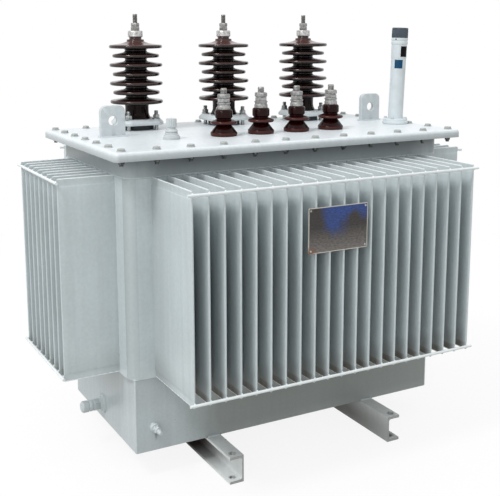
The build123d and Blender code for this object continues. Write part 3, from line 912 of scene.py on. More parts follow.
@dataclass
class FinBank:
    """A bank of folded fins on one side of the tank, with its backing sheet and its welds."""

    side: Side
    pitch: float = 45.0
    margin: float = 44.0
    thickness: float = 6.0
    pinch: float = 3.0
    pinch_height: float = 22.0
    foot: float = 4.0
    head: float = 2.0
    sheet: float = 1.5
    feather: float = 14.0
    # Welds of the tie rods, and of the fins' ends
    rod_inset: float = 9.0
    rod_weld: Profile = ((0.4, -2.0, 0), (2.0, -1.4, 0), (2.6, 0.0, 0), (2.0, 1.4, 0), (0.4, 2.0, 0))
    rod_weld_rise: float = 4.0
    rod_weld_proud: float = 1.6
    end_bead: float = 1.9
    end_ripple: float = 9.0
    end_short: float = 2.0
    # Waves of the sheets, which fade out towards the ends
    wave: float = 0.45
    wave_fade: float = 90.0
    wave_size: tuple[float, float, float] = (31.0, 70.0, 150.0)
    wave_shift: float = 7.0
    # Painted shade deep in a gap, which fades out towards the top, and a darker foot
    gap_shade_start: float = 52.0
    gap_shade_reach: float = 46.0
    light_reach: float = 330.0
    foot_share: float = 0.8
    foot_depth: float = 12.0
    # Painted light near the top of a gap, and painted shade on an open face near the wall
    top_light_share: float = 0.4
    top_light_reach: float = 170.0
    top_light_start: float = 6.0
    top_light_depth: float = 50.0
    face_shade_share: float = 0.34
    face_shade_start: float = 70.0
    face_shade_reach: float = 180.0
    height_steps: int = 10
    side_steps: int = 10
    fold_steps: int = 6

    def build(self) -> None:
        """Make the fins, the rods' welds and the welds at the fins' ends."""
        node = f"{self.side.label}_fin_bank"
        low, high = box_mm(node)
        run, back, tip = self.side.span(node)
        bottom, top = low.z + self.foot, high.z - self.head
        gaps = int((run - 2 * self.margin) / self.pitch)
        middles = [(index - gaps / 2) * self.pitch for index in range(gaps + 1)]

        fins = Draft()
        half = run / 2
        edge = ((-half, -back), (half, -back), (half - self.feather, -back - self.sheet),
                (self.feather - half, -back - self.sheet))
        fins.skin([[Vector((x, y, height)) for x, y in edge] for height in (low.z, high.z)], self.side.turn)
        for middle in middles:
            outermost = abs(middle) > gaps / 2 * self.pitch - 1.0
            self.fin(fins, middle, back + self.sheet * 0.5, tip, bottom, top, outermost)
        fins.build(f"{self.side.label}_fins", TANK_ENAMEL, "tank_paint", [node])

        welds = Draft()
        for middle in middles:
            for height in (bottom + self.rod_inset, top - self.rod_inset):
                for rise in (-self.rod_weld_rise, self.rod_weld_rise):
                    spot = Matrix.Translation((middle, -tip - self.rod_weld_proud, height + rise))
                    welds.turn(self.rod_weld, self.side.turn @ spot, 8)
        welds.build(f"{self.side.label}_rod_welds", ROD_LIT_ENAMEL, "tank_paint")

        ends = Draft()
        dice = random.Random(7)
        for middle in middles:
            for height in (bottom, top):
                path = [self.side.turn @ Vector((middle, -depth, height))
                        for depth in (back + self.sheet, tip - self.end_short)]
                ends.bead(path, self.end_bead, False, dice, self.end_ripple)
        ends.build(f"{self.side.label}_fin_end_welds", ROD_LIT_ENAMEL, "tank_paint")
        ROD_LIT_ENAMEL.cover(f"{self.side.label}_tie_rods")

    def fin(self, draft: Draft, middle: float, root: float, tip: float, bottom: float, top: float,
            outermost: bool) -> None:
        """Draw one fin: two sheets folded at the tip and pinched shut at both ends.

        Args:
            draft: the mesh that gets it.
            middle: where it stands along the wall.
            root: how far its root is from the middle of the tank.
            tip: how far its tip is.
            bottom: the height of its lower end.
            top: the height of its upper end.
            outermost: whether it is the last of the bank, whose open face gets painted shade near the wall
                instead.
        """
        lower, upper = bottom + self.pinch_height, top - self.pinch_height
        inside = [lower + (upper - lower) * step / self.height_steps for step in range(self.height_steps + 1)]
        creases = [self.pinch_height * share for share in (0.0, 0.4, 0.8, 0.87, 0.93)]
        heights = [*(bottom + rise for rise in creases), *inside, *(top - rise for rise in reversed(creases))]
        rings = [self.slice(middle, root, tip, height, bottom, top) for height in heights]

        def fin_shade_and_light(point: Vector) -> float:
            """Mark painted shade and painted light on a fin.

            Args:
                point: a point of the fin.

            Returns:
                More than 0 for painted shade deep in a gap and near the wall on an open face, and for a
                darker foot, and less than 0 for painted light near the top.
            """
            inward = point.y + tip
            if outermost and (point.x - middle) * middle > 0:
                return self.face_shade_share * smooth((inward - self.face_shade_start) / self.face_shade_reach)
            deep = smooth((inward - self.gap_shade_start) / self.gap_shade_reach)
            deep *= smooth((top - point.z) / self.light_reach)
            low = self.foot_share * smooth((bottom + self.pinch_height * 1.5 - point.z) / self.pinch_height)
            low *= smooth(inward / self.foot_depth)
            high = self.top_light_share * smooth((point.z - top) / self.top_light_reach + 1.0)
            high *= smooth((inward - self.top_light_start) / self.top_light_depth)
            return max(deep, low) - high

        draft.skin(rings, self.side.turn, fin_shade_and_light)

    def slice(self, middle: float, root: float, tip: float, height: float, bottom: float, top: float) -> Ring:
        """Give the outline of a fin at one height.

        Args:
            middle: where the fin stands along the wall.
            root: how far its root is from the middle of the tank.
            tip: how far its tip is.
            height: the height of the outline.
            bottom: the height of the fin's lower end.
            top: the height of its upper end.

        Returns:
            The outline's points, from the root out on one side and back on the other.
        """
        from_end = min(height - bottom, top - height)
        opened = smooth((from_end / self.pinch_height - 0.8) / 0.2)
        half = (self.pinch + (self.thickness - self.pinch) * opened) / 2
        slack = self.wave * smooth(from_end / self.wave_fade)
        along, deep, tall = self.wave_size
        reach = [root + (tip - half - root) * step / self.side_steps for step in range(self.side_steps + 1)]
        flanks = []
        for hand in (-1.0, 1.0):
            start = middle / along + hand * self.wave_shift
            bulge = [slack * noise.noise(Vector((start, depth / deep, height / tall))) for depth in reach]
            flanks.append([Vector((middle + hand * (half + swell), -depth, height))
                           for depth, swell in zip(reach, bulge)])
        turns = [math.pi * step / self.fold_steps for step in range(1, self.fold_steps)]
        fold = [Vector((middle - half * math.cos(turn), -(tip - half) - half * math.sin(turn), height))
                for turn in turns]
        return [*flanks[0], *fold, *reversed(flanks[1])]


@dataclass
class Tank:
    """The tank's boxes, its seams and the channels that it stands on."""

    seam: float = 2.6
    edge_bead: float = 3.0
    edge_short: float = 1.0
    foot_bead: float = 4.0
    foot_short: float = 2.0
    wall_corner: float = 33.0
    base_corner: float = 5.0
    dice: random.Random = field(default_factory=lambda: random.Random(11))

    def build(self) -> None:
        """Dress the boxes and lay their weld seams."""
        WALL_ENAMEL.cover("tank_wall")
        COLLAR_SHADED_ENAMEL.cover("tank_collar", "tank_flange")
        BASE_ENAMEL.cover("tank_base")
        SKID_LIT_ENAMEL.cover("left_skid", "right_skid")
        SEAL_RUBBER.cover("cover_gasket", *(f"hv_seat_{letter}" for letter in "abc"))
        seams = Draft()
        self.belt(seams, "tank_collar", self.wall_corner, -self.seam * 0.4)
        self.belt(seams, "tank_base", self.base_corner, 0.0, at_top=True)
        self.skid_feet(seams)
        seams.build("tank_weld_seams", TANK_ENAMEL, "tank_paint")
        edges = Draft()
        self.upright_edges(edges)
        edges.build("base_edge_welds", COVER_ENAMEL, "tank_paint")

    def belt(self, draft: Draft, node: str, corner: float, lift: float, at_top: bool = False) -> None:
        """Lay a seam round the lower or upper edge of a box.

        Args:
            draft: the mesh that gets it.
            node: the box's CAD node.
            corner: the radius of the box's corners.
            lift: how far above the edge the seam lies.
            at_top: whether the seam follows the upper edge.
        """
        low, high = box_mm(node)
        height = (high.z if at_top else low.z) + lift
        inset = self.seam if not at_top else 0.0
        path = rounded_rectangle(high.x - low.x - inset, high.y - low.y - inset, corner, height, 6)
        draft.bead(path, self.seam, True, self.dice)

    def upright_edges(self, draft: Draft) -> None:
        """Lay a seam down each upright edge of the lower box.

        Args:
            draft: the mesh that gets the seams.
        """
        low, high = box_mm("tank_base")
        inset = self.base_corner * (1.0 - math.sqrt(0.5)) + self.edge_bead * 0.3
        for x in (low.x + inset, high.x - inset):
            for y in (low.y + inset, high.y - inset):
                path = [Vector((x, y, z)) for z in (low.z + self.edge_short, high.z - self.edge_short)]
                draft.bead(path, self.edge_bead, False, self.dice)

    def skid_feet(self, draft: Draft) -> None:
        """Lay the seams between the lower box and the channels.

        Args:
            draft: the mesh that gets the seams.
        """
        base_low, base_high = box_mm("tank_base")
        for node in ("left_skid", "right_skid"):
            low, high = box_mm(node)
            for y in (base_low.y, base_high.y):
                path = [Vector((x, y, high.z)) for x in (low.x + self.foot_short, high.x - self.foot_short)]
                draft.bead(path, self.foot_bead, False, self.dice)
            for x in (low.x, high.x):
                path = [Vector((x, y, high.z)) for y in (base_low.y, base_high.y)]
                draft.bead(path, self.foot_bead * 0.8, False, self.dice)


@dataclass
class PiercedPlate:
    """A plate with one round hole and softened edges, drawn flat on its own XY plane about the hole."""

    thickness: float
    hole: float
    reach: Callable[[float], float]
    bevel: float = 1.2
    top_bevel: float = 1.2
    count: int = 96

    def draw(self, draft: Draft, place: Matrix) -> None:
        """Add the plate to a mesh, with its underside on the place's own plane.

        Args:
            draft: the mesh that gets it.
            place: where its own frame stands in the model.
        """
        steps = [2.0 * math.pi * index / self.count for index in range(self.count)]
        rims = [self.reach(step) for step in steps]
        top, slope = self.thickness, self.top_bevel
        soft = min(1.2, slope * 0.5)
        outer = [(0.0, -self.bevel), (self.bevel, 0.0), (top - slope - soft, 0.0), (top - slope, -soft * 0.5),
                 (top - soft, -slope + soft * 0.5), (top, -slope - soft)]
        inner = [(0.0, self.bevel), (self.bevel, 0.0), (top - self.bevel, 0.0), (top, self.bevel)]
        rings = [[Vector((math.cos(step) * (rim + grow), math.sin(step) * (rim + grow), height))
                  for step, rim in zip(steps, rims)] for height, grow in outer]
        rings += [circle(self.hole + grow, height, self.count) for height, grow in reversed(inner)]
        draft.skin(rings, place, looped=True)


@dataclass
class Cover:
    """The cover, its bolts and its lifting lugs."""

    bolts_along: int = 12
    bolts_across: int = 7
    inset_x: float = 28.0
    inset_y: float = 30.0
    head_flats: float = 18.0
    head_height: float = 5.6
    washer_radius: float = 12.0
    washer_thickness: float = 2.4
    sunk: float = 0.3
    lapped: float = 0.2
    under_share: float = 0.8
    stud_radius: float = 6.0
    stud_pitch: float = 1.75
    nut_height: float = 7.5
    tail: float = 8.0
    end_tail: float = 3.0
    lug_corner: float = 18.0
    lug_eye_radius: float = 14.0
    lug_eye_height: float = 48.0
    lug_bead: float = 3.6
    dice: random.Random = field(default_factory=lambda: random.Random(23))

    def build(self) -> None:
        """Dress the cover, and make its bolts and lugs."""
        LID_LIT_ENAMEL.cover("cover")
        self.bolts()
        for name in ("left_lifting_lug", "right_lifting_lug"):
            self.lug(name)

    def bolt_places(self) -> list[tuple[float, float]]:
        """Place the bolts round the cover.

        Returns:
            Each bolt's X and Y, the two long rows first.
        """
        high = box_mm("cover")[1]
        half_x, half_y = high.x - self.inset_x, high.y - self.inset_y
        along = [half_x * (2 * index / (self.bolts_along - 1) - 1) for index in range(self.bolts_along)]
        across = [half_y * (2 * index / (self.bolts_across - 1) - 1) for index in range(self.bolts_across)]
        long_rows = [(x, y) for y in (-half_y, half_y) for x in along]
        return long_rows + [(x, y) for x in (-half_x, half_x) for y in across[1:-1]]

    def bolts(self) -> None:
        """Make the painted heads over the cover, and the nuts under the tank's flange."""
        corner = box_mm("cover")[1]
        under = box_mm("tank_flange")[0].z
        rise = self.washer_thickness
        heads, nuts = Draft(), Draft()
        for x, y in self.bolt_places():
            turned = Matrix.Rotation(self.dice.uniform(0.0, math.pi), 4, "Z")
            place = Matrix.Translation((x, y, corner.z)) @ turned
            heads.washer(self.washer_radius, -self.sunk, rise, place)
            heads.nut(self.head_flats, rise - self.lapped, rise + self.head_height, place)
            below = Matrix.Translation((x, y, under)) @ turned
            nuts.washer(self.washer_radius * self.under_share, -rise, self.sunk, below)
            nuts.nut(self.head_flats * self.under_share, -rise - self.nut_height, -rise + self.lapped, below)
            tail = Matrix.Translation((x, y, under - self.nut_height)) @ Matrix.Rotation(math.pi, 4, "X")
            long_row = abs(y) > corner.y - self.inset_y - 1.0
            length = self.tail if long_row else self.end_tail
            nuts.thread(self.stud_radius, 0.0, length, self.stud_pitch, tail)
        heads.build("cover_bolt_heads", BOLT_ENAMEL, "cover_paint")
        nuts.build("cover_bolt_nuts", SHADED_STEEL, "zinc_steel")

    def lug(self, name: str) -> None:
        """Make a lifting lug with its foot weld.

        Args:
            name: the lug's CAD node.
        """
        low, high = box_mm(name)
        half = (high.x - low.x) / 2
        above, below = high.z - low.z - self.lug_eye_height, self.lug_eye_height

        def reach(step: float) -> float:
            """Find the lug's edge by halving.

            Args:
                step: the direction from the eye, as an angle.

            Returns:
                How far the edge is from the eye.
            """
            across, upward = abs(math.cos(step)), math.sin(step)
            tall = above if upward > 0 else below
            corner = self.lug_corner if upward > 0 else 1.0
            near, far = 0.0, half + above + below
            for _ in range(40):
                tried = (near + far) / 2
                over_x = max(0.0, tried * across - half + corner)
                over_z = max(0.0, tried * abs(upward) - tall + corner)
                near, far = (near, tried) if math.hypot(over_x, over_z) > corner else (tried, far)
            return near

        thick = high.y - low.y
        plate = PiercedPlate(thick, self.lug_eye_radius, reach, bevel=1.4)
        middle = (low.x + high.x) / 2
        eye = Matrix.Translation((middle, high.y, low.z + self.lug_eye_height))
        draft = Draft()
        plate.draw(draft, eye @ Matrix.Rotation(math.pi / 2, 4, "X"))
        foot = [point + Vector((middle, (low.y + high.y) / 2, low.z + 0.4))
                for point in rounded_rectangle(high.x - low.x + 3.0, thick + 3.0, 3.0, 0.0, 3)]
        draft.bead(foot, self.lug_bead, True, self.dice)
        draft.build(f"{name}_plate", COVER_ENAMEL, "cover_paint", [name])


@dataclass
class HighVoltageBushing:
    """A tall shed bushing with its clamp plate, clamp studs and terminal."""

    letter: str
    foot: float = 44.0
    neck: float = 37.0
    foot_taper: float = 14.0
    core: float = 34.0
    large_shed: float = 82.5
    small_shed: float = 73.0
    first_shed: float = 71.0
    shed_pitch: float = 28.5
    shed_count: int = 7
    shed_rise: float = 15.0
    notch_rise: float = 12.0
    lip: float = 10.0
    ring: float = 27.0
    ring_height: float = 8.0
    top_neck: float = 19.0
    clamp_bolt: float = 46.0
    clamp_corner: float = 22.0
    clamp_bevel: float = 9.0
    stud_washer: Disc = (12.5, -0.2, 2.6)
    stud_nut: Disc = (19.0, 2.5, 13.5)
    stud_thread: tuple[float, float, float, float] = (6.5, 13.0, 26.0, 1.9)
    stud_leg: float = 6.0
    cap: Profile = ((6.0, -0.2, 0), (21.0, -0.2, 1), (23.0, 2.0, 1.0), (23.0, 17.5, 1.5), (21.0, 20.0, 1.0),
                    (6.0, 20.2, 0))
    tarnish: float = 0.55
    lower_nut: Disc = (25.0, 20.0, 31.5)
    upper_nut: Disc = (23.0, 32.0, 44.0)
    upper_nut_turn: float = 0.4

    def build(self) -> None:
        """Make the bushing's porcelain, clamp and terminal."""
        self.porcelain()
        self.clamp()
        self.terminal()

    def porcelain(self) -> None:
        """Turn the glazed body, with thinner glaze and a painted highlight marked on each lip, and painted
        light on the crown.
        """
        node = f"hv_bushing_{self.letter}"
        low, high = box_mm(node)
        tall = high.z - low.z
        clamp_top = box_mm(f"hv_clamp_{self.letter}")[1].z - low.z
        corners: list[Corner] = [(self.foot * 0.4, 0, 0), (self.foot, 0, 2), (self.foot, clamp_top + 1, 5),
                                 (self.neck, clamp_top + self.foot_taper, 9)]
        rims = []
        for index in range(self.shed_count):
            rim = self.small_shed if index % 2 else self.large_shed
            level = self.first_shed + index * self.shed_pitch
            rims.append((rim, level))
            low_lip, high_lip = level - self.lip / 2, level + self.lip / 2
            corners += [(self.core if index else self.neck, low_lip - 2.0, 8),
                        (rim, low_lip, self.lip * 0.49), (rim, high_lip, self.lip * 0.49)]
            if index < self.shed_count - 1:
                corners.append((self.core, level + self.notch_rise, 9))
            else:
                corners += [(self.core * 1.3, high_lip + 4.5, 18),
                            (self.ring, level + self.shed_rise + 1.0, 2)]
        last_level = self.first_shed + (self.shed_count - 1) * self.shed_pitch
        ring_top = last_level + self.shed_rise + self.ring_height
        corners += [(self.ring, ring_top - 1.0, 2.5), (self.top_neck, ring_top, 1.5),
                    (self.top_neck, tall, 0), (self.top_neck * 0.3, tall, 0)]

        def glaze_thin_and_lit(point: Vector) -> float:
            """Mark painted light on the crown, and thinner glaze with a painted highlight along the upper
            edge of each lip.

            Args:
                point: a point of the porcelain, from the middle of its underside.

            Returns:
                From 0 for a full glaze to 1 for the thinnest glaze and strongest painted light.
            """
            out = math.hypot(point.x, point.y)
            crown = 0.0
            if point.z > rims[-1][1] + self.lip / 2:
                crown = 0.85 if out > self.ring + 1.0 else 0.45
            return max(crown, *(0.4 * smooth((out - rim + 6.0) / 5.0) * smooth((point.z - level + 0.5) / 4.0)
                                if abs(point.z - level) < self.lip else 0.0 for rim, level in rims))

        draft = Draft()
        draft.turn(corners, Matrix.Translation(seat_of(node)), 72, glaze_thin_and_lit)
        piece = draft.build(f"{node}_glazed", BROWN_GLAZE, "brown_porcelain", [node])
        piece.data.materials.append(DULL_GLAZE.material())
        neck_top = low.z + self.first_shed - self.lip
        for face in piece.data.polygons:
            face.material_index = 1 if face.center.z / MM < neck_top else 0

    def clamp(self) -> None:
        """Make the cast clamp plate and its four studs."""
        node = f"hv_clamp_{self.letter}"
        low, high = box_mm(node)
        half = (high.x - low.x) / 2
        cut = half * 2 - self.clamp_corner

        def reach(step: float) -> float:
            """Give how far the plate's edge is from its hole in one direction."""
            across, along = abs(math.cos(step)), abs(math.sin(step))
            return min(half / max(across, along), cut / (across + along))

        seat = seat_of(node)
        draft = Draft()
        plate = PiercedPlate(high.z - low.z, self.foot + 0.3, reach, 1.5, self.clamp_bevel)
        plate.draw(draft, Matrix.Translation(seat))
        draft.build(f"{node}_plate", COVER_ENAMEL, "cover_paint", [node])
        studs = Draft()
        drop = low.z - box_mm(f"hv_seat_{self.letter}")[0].z
        rod, core, tall = self.stud_leg, self.stud_leg / 3, drop + 0.2
        for x in (-self.clamp_bolt, self.clamp_bolt):
            for y in (-self.clamp_bolt, self.clamp_bolt):
                spot = Matrix.Translation((seat.x + x, seat.y + y, high.z)) @ Matrix.Rotation(x + y, 4, "Z")
                studs.washer(*self.stud_washer, spot)
                studs.nut(*self.stud_nut, spot)
                studs.thread(*self.stud_thread, spot)
                leg = Matrix.Translation((seat.x + x, seat.y + y, low.z - drop))
                studs.turn([(core, 0.0, 0), (rod, 0.0, 0), (rod, tall, 0), (core, tall, 0)], leg, 16)
        studs.build(f"hv_clamp_{self.letter}_studs", ZINC_STEEL, "zinc_steel")

    def terminal(self) -> None:
        """Make the tinned cap, and the tarnished nuts and threaded stud."""
        node = f"hv_terminal_{self.letter}"
        low, high = box_mm(node)
        place = Matrix.Translation(seat_of(node))
        draft = Draft()
        draft.turn(self.cap, place, 48)
        draft.shade = self.tarnish
        draft.nut(*self.lower_nut, place)
        draft.nut(*self.upper_nut, place @ Matrix.Rotation(self.upper_nut_turn, 4, "Z"))
        draft.thread(7.5, 43.5, high.z - low.z, 2.0, place)
        draft.build(f"{node}_metal", TINNED_BRASS, "tinned_terminal", [node])


@dataclass
class LowVoltageBushing:
    """A short flanged bushing with its terminal."""

    letter: str
    shed: float = 40.0
    shed_level: float = 39.0
    flange_top: float = 11.0
    lip: float = 4.0
    cap: Profile = ((8.0, -0.2, 0), (20.0, -0.2, 1.0), (20.0, 9.0, 1.5), (18.0, 11.0, 1.0), (18.0, 15.0, 1.0),
                    (20.0, 16.5, 0.8), (20.0, 20.0, 0.8), (8.0, 20.2, 0))
    lower_nut: Disc = (34.0, 20.0, 32.0)
    upper_nut: Disc = (33.0, 32.8, 45.5)
    upper_nut_turn: float = 0.35

    def build(self) -> None:
        """Make the bushing's porcelain and terminal."""
        node = f"lv_bushing_{self.letter}"

        def glaze_thin_and_lit(point: Vector) -> float:
            """Mark thinner glaze with a painted highlight on the flange's side and the upper side of the
            shed's rim.

            Args:
                point: a point of the porcelain, from the middle of its underside.

            Returns:
                From 0 for a full glaze to 1 for the thinnest glaze and strongest painted highlight.
            """
            rim = smooth((math.hypot(point.x, point.y) - self.shed + self.lip) / self.lip)
            on_shed = rim * smooth((point.z - self.shed_level + 3.0) / 3.0)
            return max(on_shed, 0.7 * rim if point.z < self.flange_top else 0.0)

        draft = Draft()
        draft.turn([(10.0, 0.0, 0), (39.0, 0.0, 2.0), (40.0, 4.0, 2.0), (40.0, self.flange_top, 2.5),
                    (37.0, 13.5, 1.5), (22.0, 33.0, 4.0), (22.5, 34.8, 1.5), (37.5, 35.0, 2.5),
                    (self.shed, self.shed_level, 2.5), (37.5, 44.0, 3.0), (22.0, 49.0, 4.0),
                    (22.0, 51.0, 1.0), (26.0, 54.0, 3.0), (26.0, 74.0, 3.0), (22.0, 78.0, 1.5),
                    (8.0, 78.0, 0)],
                   Matrix.Translation(seat_of(node)), 64, glaze_thin_and_lit)
        draft.build(f"{node}_glazed", RED_GLAZE, "red_porcelain", [node])

        metal = f"lv_terminal_{self.letter}"
        low, high = box_mm(metal)
        stand = Matrix.Translation(seat_of(metal))
        draft = Draft()
        draft.turn(self.cap, stand, 40)
        draft.nut(*self.lower_nut, stand)
        draft.nut(*self.upper_nut, stand @ Matrix.Rotation(self.upper_nut_turn, 4, "Z"))
        draft.thread(10.0, 45.0, high.z - low.z, 2.6, stand)
        draft.build(f"{metal}_metal", WEATHERED_TIN, "tinned_terminal", [metal])


@dataclass
class OilGauge:
    """The white gauge: flange, leaning tube with its sight window and film, and ribbed cap."""

    lean: float = 2.2
    flange_height: float = 18.0
    bolt_circle: float = 34.0
    bolt_count: int = 4
    bolt_start: float = 35.0
    screw: Profile = ((0.4, 0.0, 0), (2.6, 0.0, 0.3), (2.6, 1.2, 0.4), (0.4, 1.4, 0))
    screw_angle: float = -154.0
    window: tuple[float, float, float, float] = (-115.0, -61.0, 203.0, 237.0)
    film: tuple[float, float, float, float] = (-157.0, -94.0, 165.0, 193.0)
    tube: float = 24.5
    sleeve: float = 25.5
    tube_height: float = 198.0
    sleeve_top: float = 244.0
    ring_top: float = 264.0
    cap_height: float = 33.0
    ribs: int = 36

    def build(self) -> None:
        """Make the gauge's pieces."""
        place = Matrix.Translation(seat_of("gauge_flange"))
        flange = Draft()
        flange.turn([(10.0, 0.0, 0), (41.0, 0.0, 1.0), (42.0, 2.0, 0.8), (42.0, 8.0, 1.0), (40.0, 9.5, 0.8),
                     (40.0, 16.0, 2.0), (38.0, self.flange_height, 1.0), (10.0, self.flange_height, 0)],
                    place, 56)
        flange.build("gauge_flange_moulding", WHITE_PVC, "white_plastic", ["gauge_flange"])
        bolts = Draft()
        for index in range(self.bolt_count):
            turn = Matrix.Rotation(math.radians(self.bolt_start + 360.0 * index / self.bolt_count), 4, "Z")
            spot = place @ turn @ Matrix.Translation((self.bolt_circle, 0.0, self.flange_height))
            bolts.washer(6.0, -0.5, 1.2, spot)
            bolts.nut(9.0, 1.0, 5.5, spot)
        bolts.build("gauge_flange_bolts", COVER_ENAMEL, "zinc_steel")

        lifted = place @ Matrix.Translation((0.0, 0.0, self.flange_height))
        stand = lifted @ Matrix.Rotation(math.radians(self.lean), 4, "Y")
        tube = Draft()
        tube.turn([(10.0, -2.0, 0), (self.tube, -2.0, 0), (self.tube, self.tube_height - 2.0, 1.0),
                   (self.sleeve, self.tube_height + 0.5, 0.8), (self.sleeve, self.sleeve_top - 2.0, 0.6),
                   (27.0, self.sleeve_top + 0.5, 1.2), (27.0, 252.0, 0.8), (26.0, 253.0, 0.5),
                   (26.0, 255.5, 0.5), (27.0, 256.5, 0.8), (27.0, self.ring_top, 0.8),
                   (10.0, self.ring_top, 0)], stand, 56)
        tube.build("gauge_tube_moulding", WHITE_PVC, "white_plastic", ["gauge_tube"])
        aimed = stand @ Matrix.Rotation(math.radians(self.screw_angle), 4, "Z")
        spot = aimed @ Matrix.Translation((26.5, 0.0, 259.5))
        screw = Draft(shade=0.8)
        screw.turn(self.screw, spot @ Matrix.Rotation(math.pi / 2, 4, "Y"), 14)
        screw.build("gauge_ring_screw", ZINC_STEEL, "zinc_steel")

        window = Draft()
        self.patch(window, self.sleeve, *self.window, 0.7, stand)
        window.build("gauge_sight_window", BLACK_GLASS, "grey_plastic")
        film = Draft()
        self.patch(film, self.tube, *self.film, 0.25, stand)
        film.build("gauge_blank_film", BLUE_FILM, "grey_plastic")

        head = Draft()
        cap = stand @ Matrix.Translation((0.0, 0.0, self.ring_top))
        top = self.cap_height
        sections = ((25.0, 25.0, 0.0), (26.5, 25.2, 1.5), (26.5, 25.2, top - 9.0), (25.6, 25.2, top - 7.5),
                    (26.3, 26.3, top - 6.5), (26.3, 26.3, top - 2.0), (24.5, 24.5, top), (14.0, 14.0, top))
        head.skin([self.ribbed(*section) for section in sections], cap)
        head.build("gauge_cap_ribbed", GREY_ABS, "grey_plastic", ["gauge_head"])

    def ribbed(self, crest: float, valley: float, height: float) -> Ring:
        """Give a level ring of ribs about the upright axis."""
        sizes = [crest, crest, valley, valley] * self.ribs
        return [Vector((point.x * size, point.y * size, height))
                for point, size in zip(circle(1.0, height, len(sizes)), sizes)]

    def patch(self, draft: Draft, radius: float, start: float, end: float, bottom: float, top: float,
              proud: float, place: Matrix) -> None:
        """Lay a thin curved patch on the tube.

        Args:
            draft: the mesh that gets it.
            radius: the tube's radius there.
            start: the angle of its first edge in degrees.
            end: the angle of its last edge in degrees.
            bottom: its lower edge above the tube's foot.
            top: its upper edge above the tube's foot.
            proud: how far it stands off the tube.
            place: where the tube stands.
        """
        count, sunk = 14, 0.4
        steps = [math.radians(start + (end - start) * index / count) for index in range(count + 1)]
        outline = [(radius + proud, step) for step in steps]
        outline += [(radius - sunk, step) for step in reversed(steps)]
        draft.skin([[Vector((out * math.cos(step), out * math.sin(step), height)) for out, step in outline]
                    for height in (bottom, top)], place)


@dataclass
class SmallFittings:
    """The tap-changer knob, the drain and the earth stud."""

    knob_body: Profile = (
        (6.0, 0.0, 0), (24.5, 0.0, 1.0), (24.5, 7.5, 1.5), (23.0, 9.0, 1.0), (22.0, 9.2, 0.3),
        (22.0, 12.5, 1.0), (18.5, 13.5, 0.8), (18.5, 18.5, 0.6), (16.0, 20.0, 0.4), (18.5, 21.5, 0.6),
        (18.5, 26.0, 2.0), (12.0, 30.0, 1.0), (12.0, 34.2, 0), (6.0, 34.2, 0))
    grip_crest: float = 15.5
    grip_valley: float = 13.9
    grip_ribs: int = 18
    grip_sections: tuple[tuple[float, float], ...] = (
        (0.9, 34.0), (1.0, 35.5), (1.0, 57.0), (0.93, 59.4), (0.5, 60.0))
    drain_length: float = 34.0
    drain_cap: Profile = (
        (6.0, 0.0, 0), (16.0, 0.0, 1.0), (17.2, 3.0, 1.0), (17.2, 9.0, 1.5), (15.8, 12.0, 1.5),
        (17.8, 14.0, 2.0), (17.8, 31.0, 3.0), (13.0, 35.0, 2.0), (6.0, 36.0, 0))
    earth_boss: Profile = (
        (4.0, 0.0, 0), (13.0, 0.0, 0.5), (13.0, 11.0, 1.0), (11.5, 12.0, 0.5), (4.0, 12.0, 0))
    dice: random.Random = field(default_factory=lambda: random.Random(31))

    def build(self) -> None:
        """Make the fittings."""
        self.knob()
        self.drain()
        self.earth()

    def knob(self) -> None:
        """Turn the tap-changer knob with its stepped body and grip ribs."""
        node = "tap_changer_knob"
        place = Matrix.Translation(seat_of(node))
        draft = Draft()
        draft.turn(self.knob_body, place, 48)
        sizes = [self.grip_crest, self.grip_crest, self.grip_valley] * self.grip_ribs
        grip = circle(1.0, 0.0, len(sizes))
        draft.skin([[Vector((point.x * size * share, point.y * size * share, height))
                     for point, size in zip(grip, sizes)] for share, height in self.grip_sections], place)
        draft.build("tap_changer_knob_moulding", GREY_PVC, "white_plastic", [node])

    def drain(self) -> None:
        """Make the drain's pad, union and cap on the left side of the lower box."""
        low, high = box_mm("drain_neck")
        middle = Vector((high.x, (low.y + high.y) / 2, (low.z + high.z) / 2))
        place = Matrix.Translation(middle) @ Matrix.Rotation(-math.pi / 2, 4, "Y")
        neck = Draft()
        neck.turn([(5.0, 0.0, 0), (28.0, 0.0, 0.5), (28.0, 5.0, 1.5), (22.0, 6.0, 0.8), (22.0, 9.0, 1.0),
                   (16.0, 10.2, 1.0), (16.0, self.drain_length, 0), (5.0, self.drain_length, 0)], place, 40)
        neck.nut(33.0, 14.0, 32.0, place)
        neck.bead([place @ point for point in circle(28.6, 0.6, 34)], 2.4, True, self.dice)
        neck.build("drain_neck_turned", TANK_ENAMEL, "tank_paint", ["drain_neck"])
        cap = Draft()
        cap.turn(self.drain_cap, place @ Matrix.Translation((0.0, 0.0, self.drain_length)), 12)
        cap.build("drain_cap_turned", COVER_ENAMEL, "tank_paint", ["drain_cap"])

    def earth(self) -> None:
        """Make the painted earth stud with its boss, washer and nuts."""
        low, high = box_mm("earth_stud")
        middle = Vector(((low.x + high.x) / 2, high.y, (low.z + high.z) / 2))
        place = Matrix.Translation(middle) @ Matrix.Rotation(math.pi / 2, 4, "X")
        draft = Draft()
        draft.turn(self.earth_boss, place, 32)
        draft.washer(12.5, 12.0, 14.2, place)
        draft.nut(18.0, 14.1, 23.0, place)
        draft.nut(18.0, 23.6, 33.0, place @ Matrix.Rotation(0.5, 4, "Z"))
        draft.thread(6.0, 32.5, 54.0, 1.9, place)
        draft.build("earth_stud_fittings", COVER_ENAMEL, "zinc_steel", ["earth_stud"])


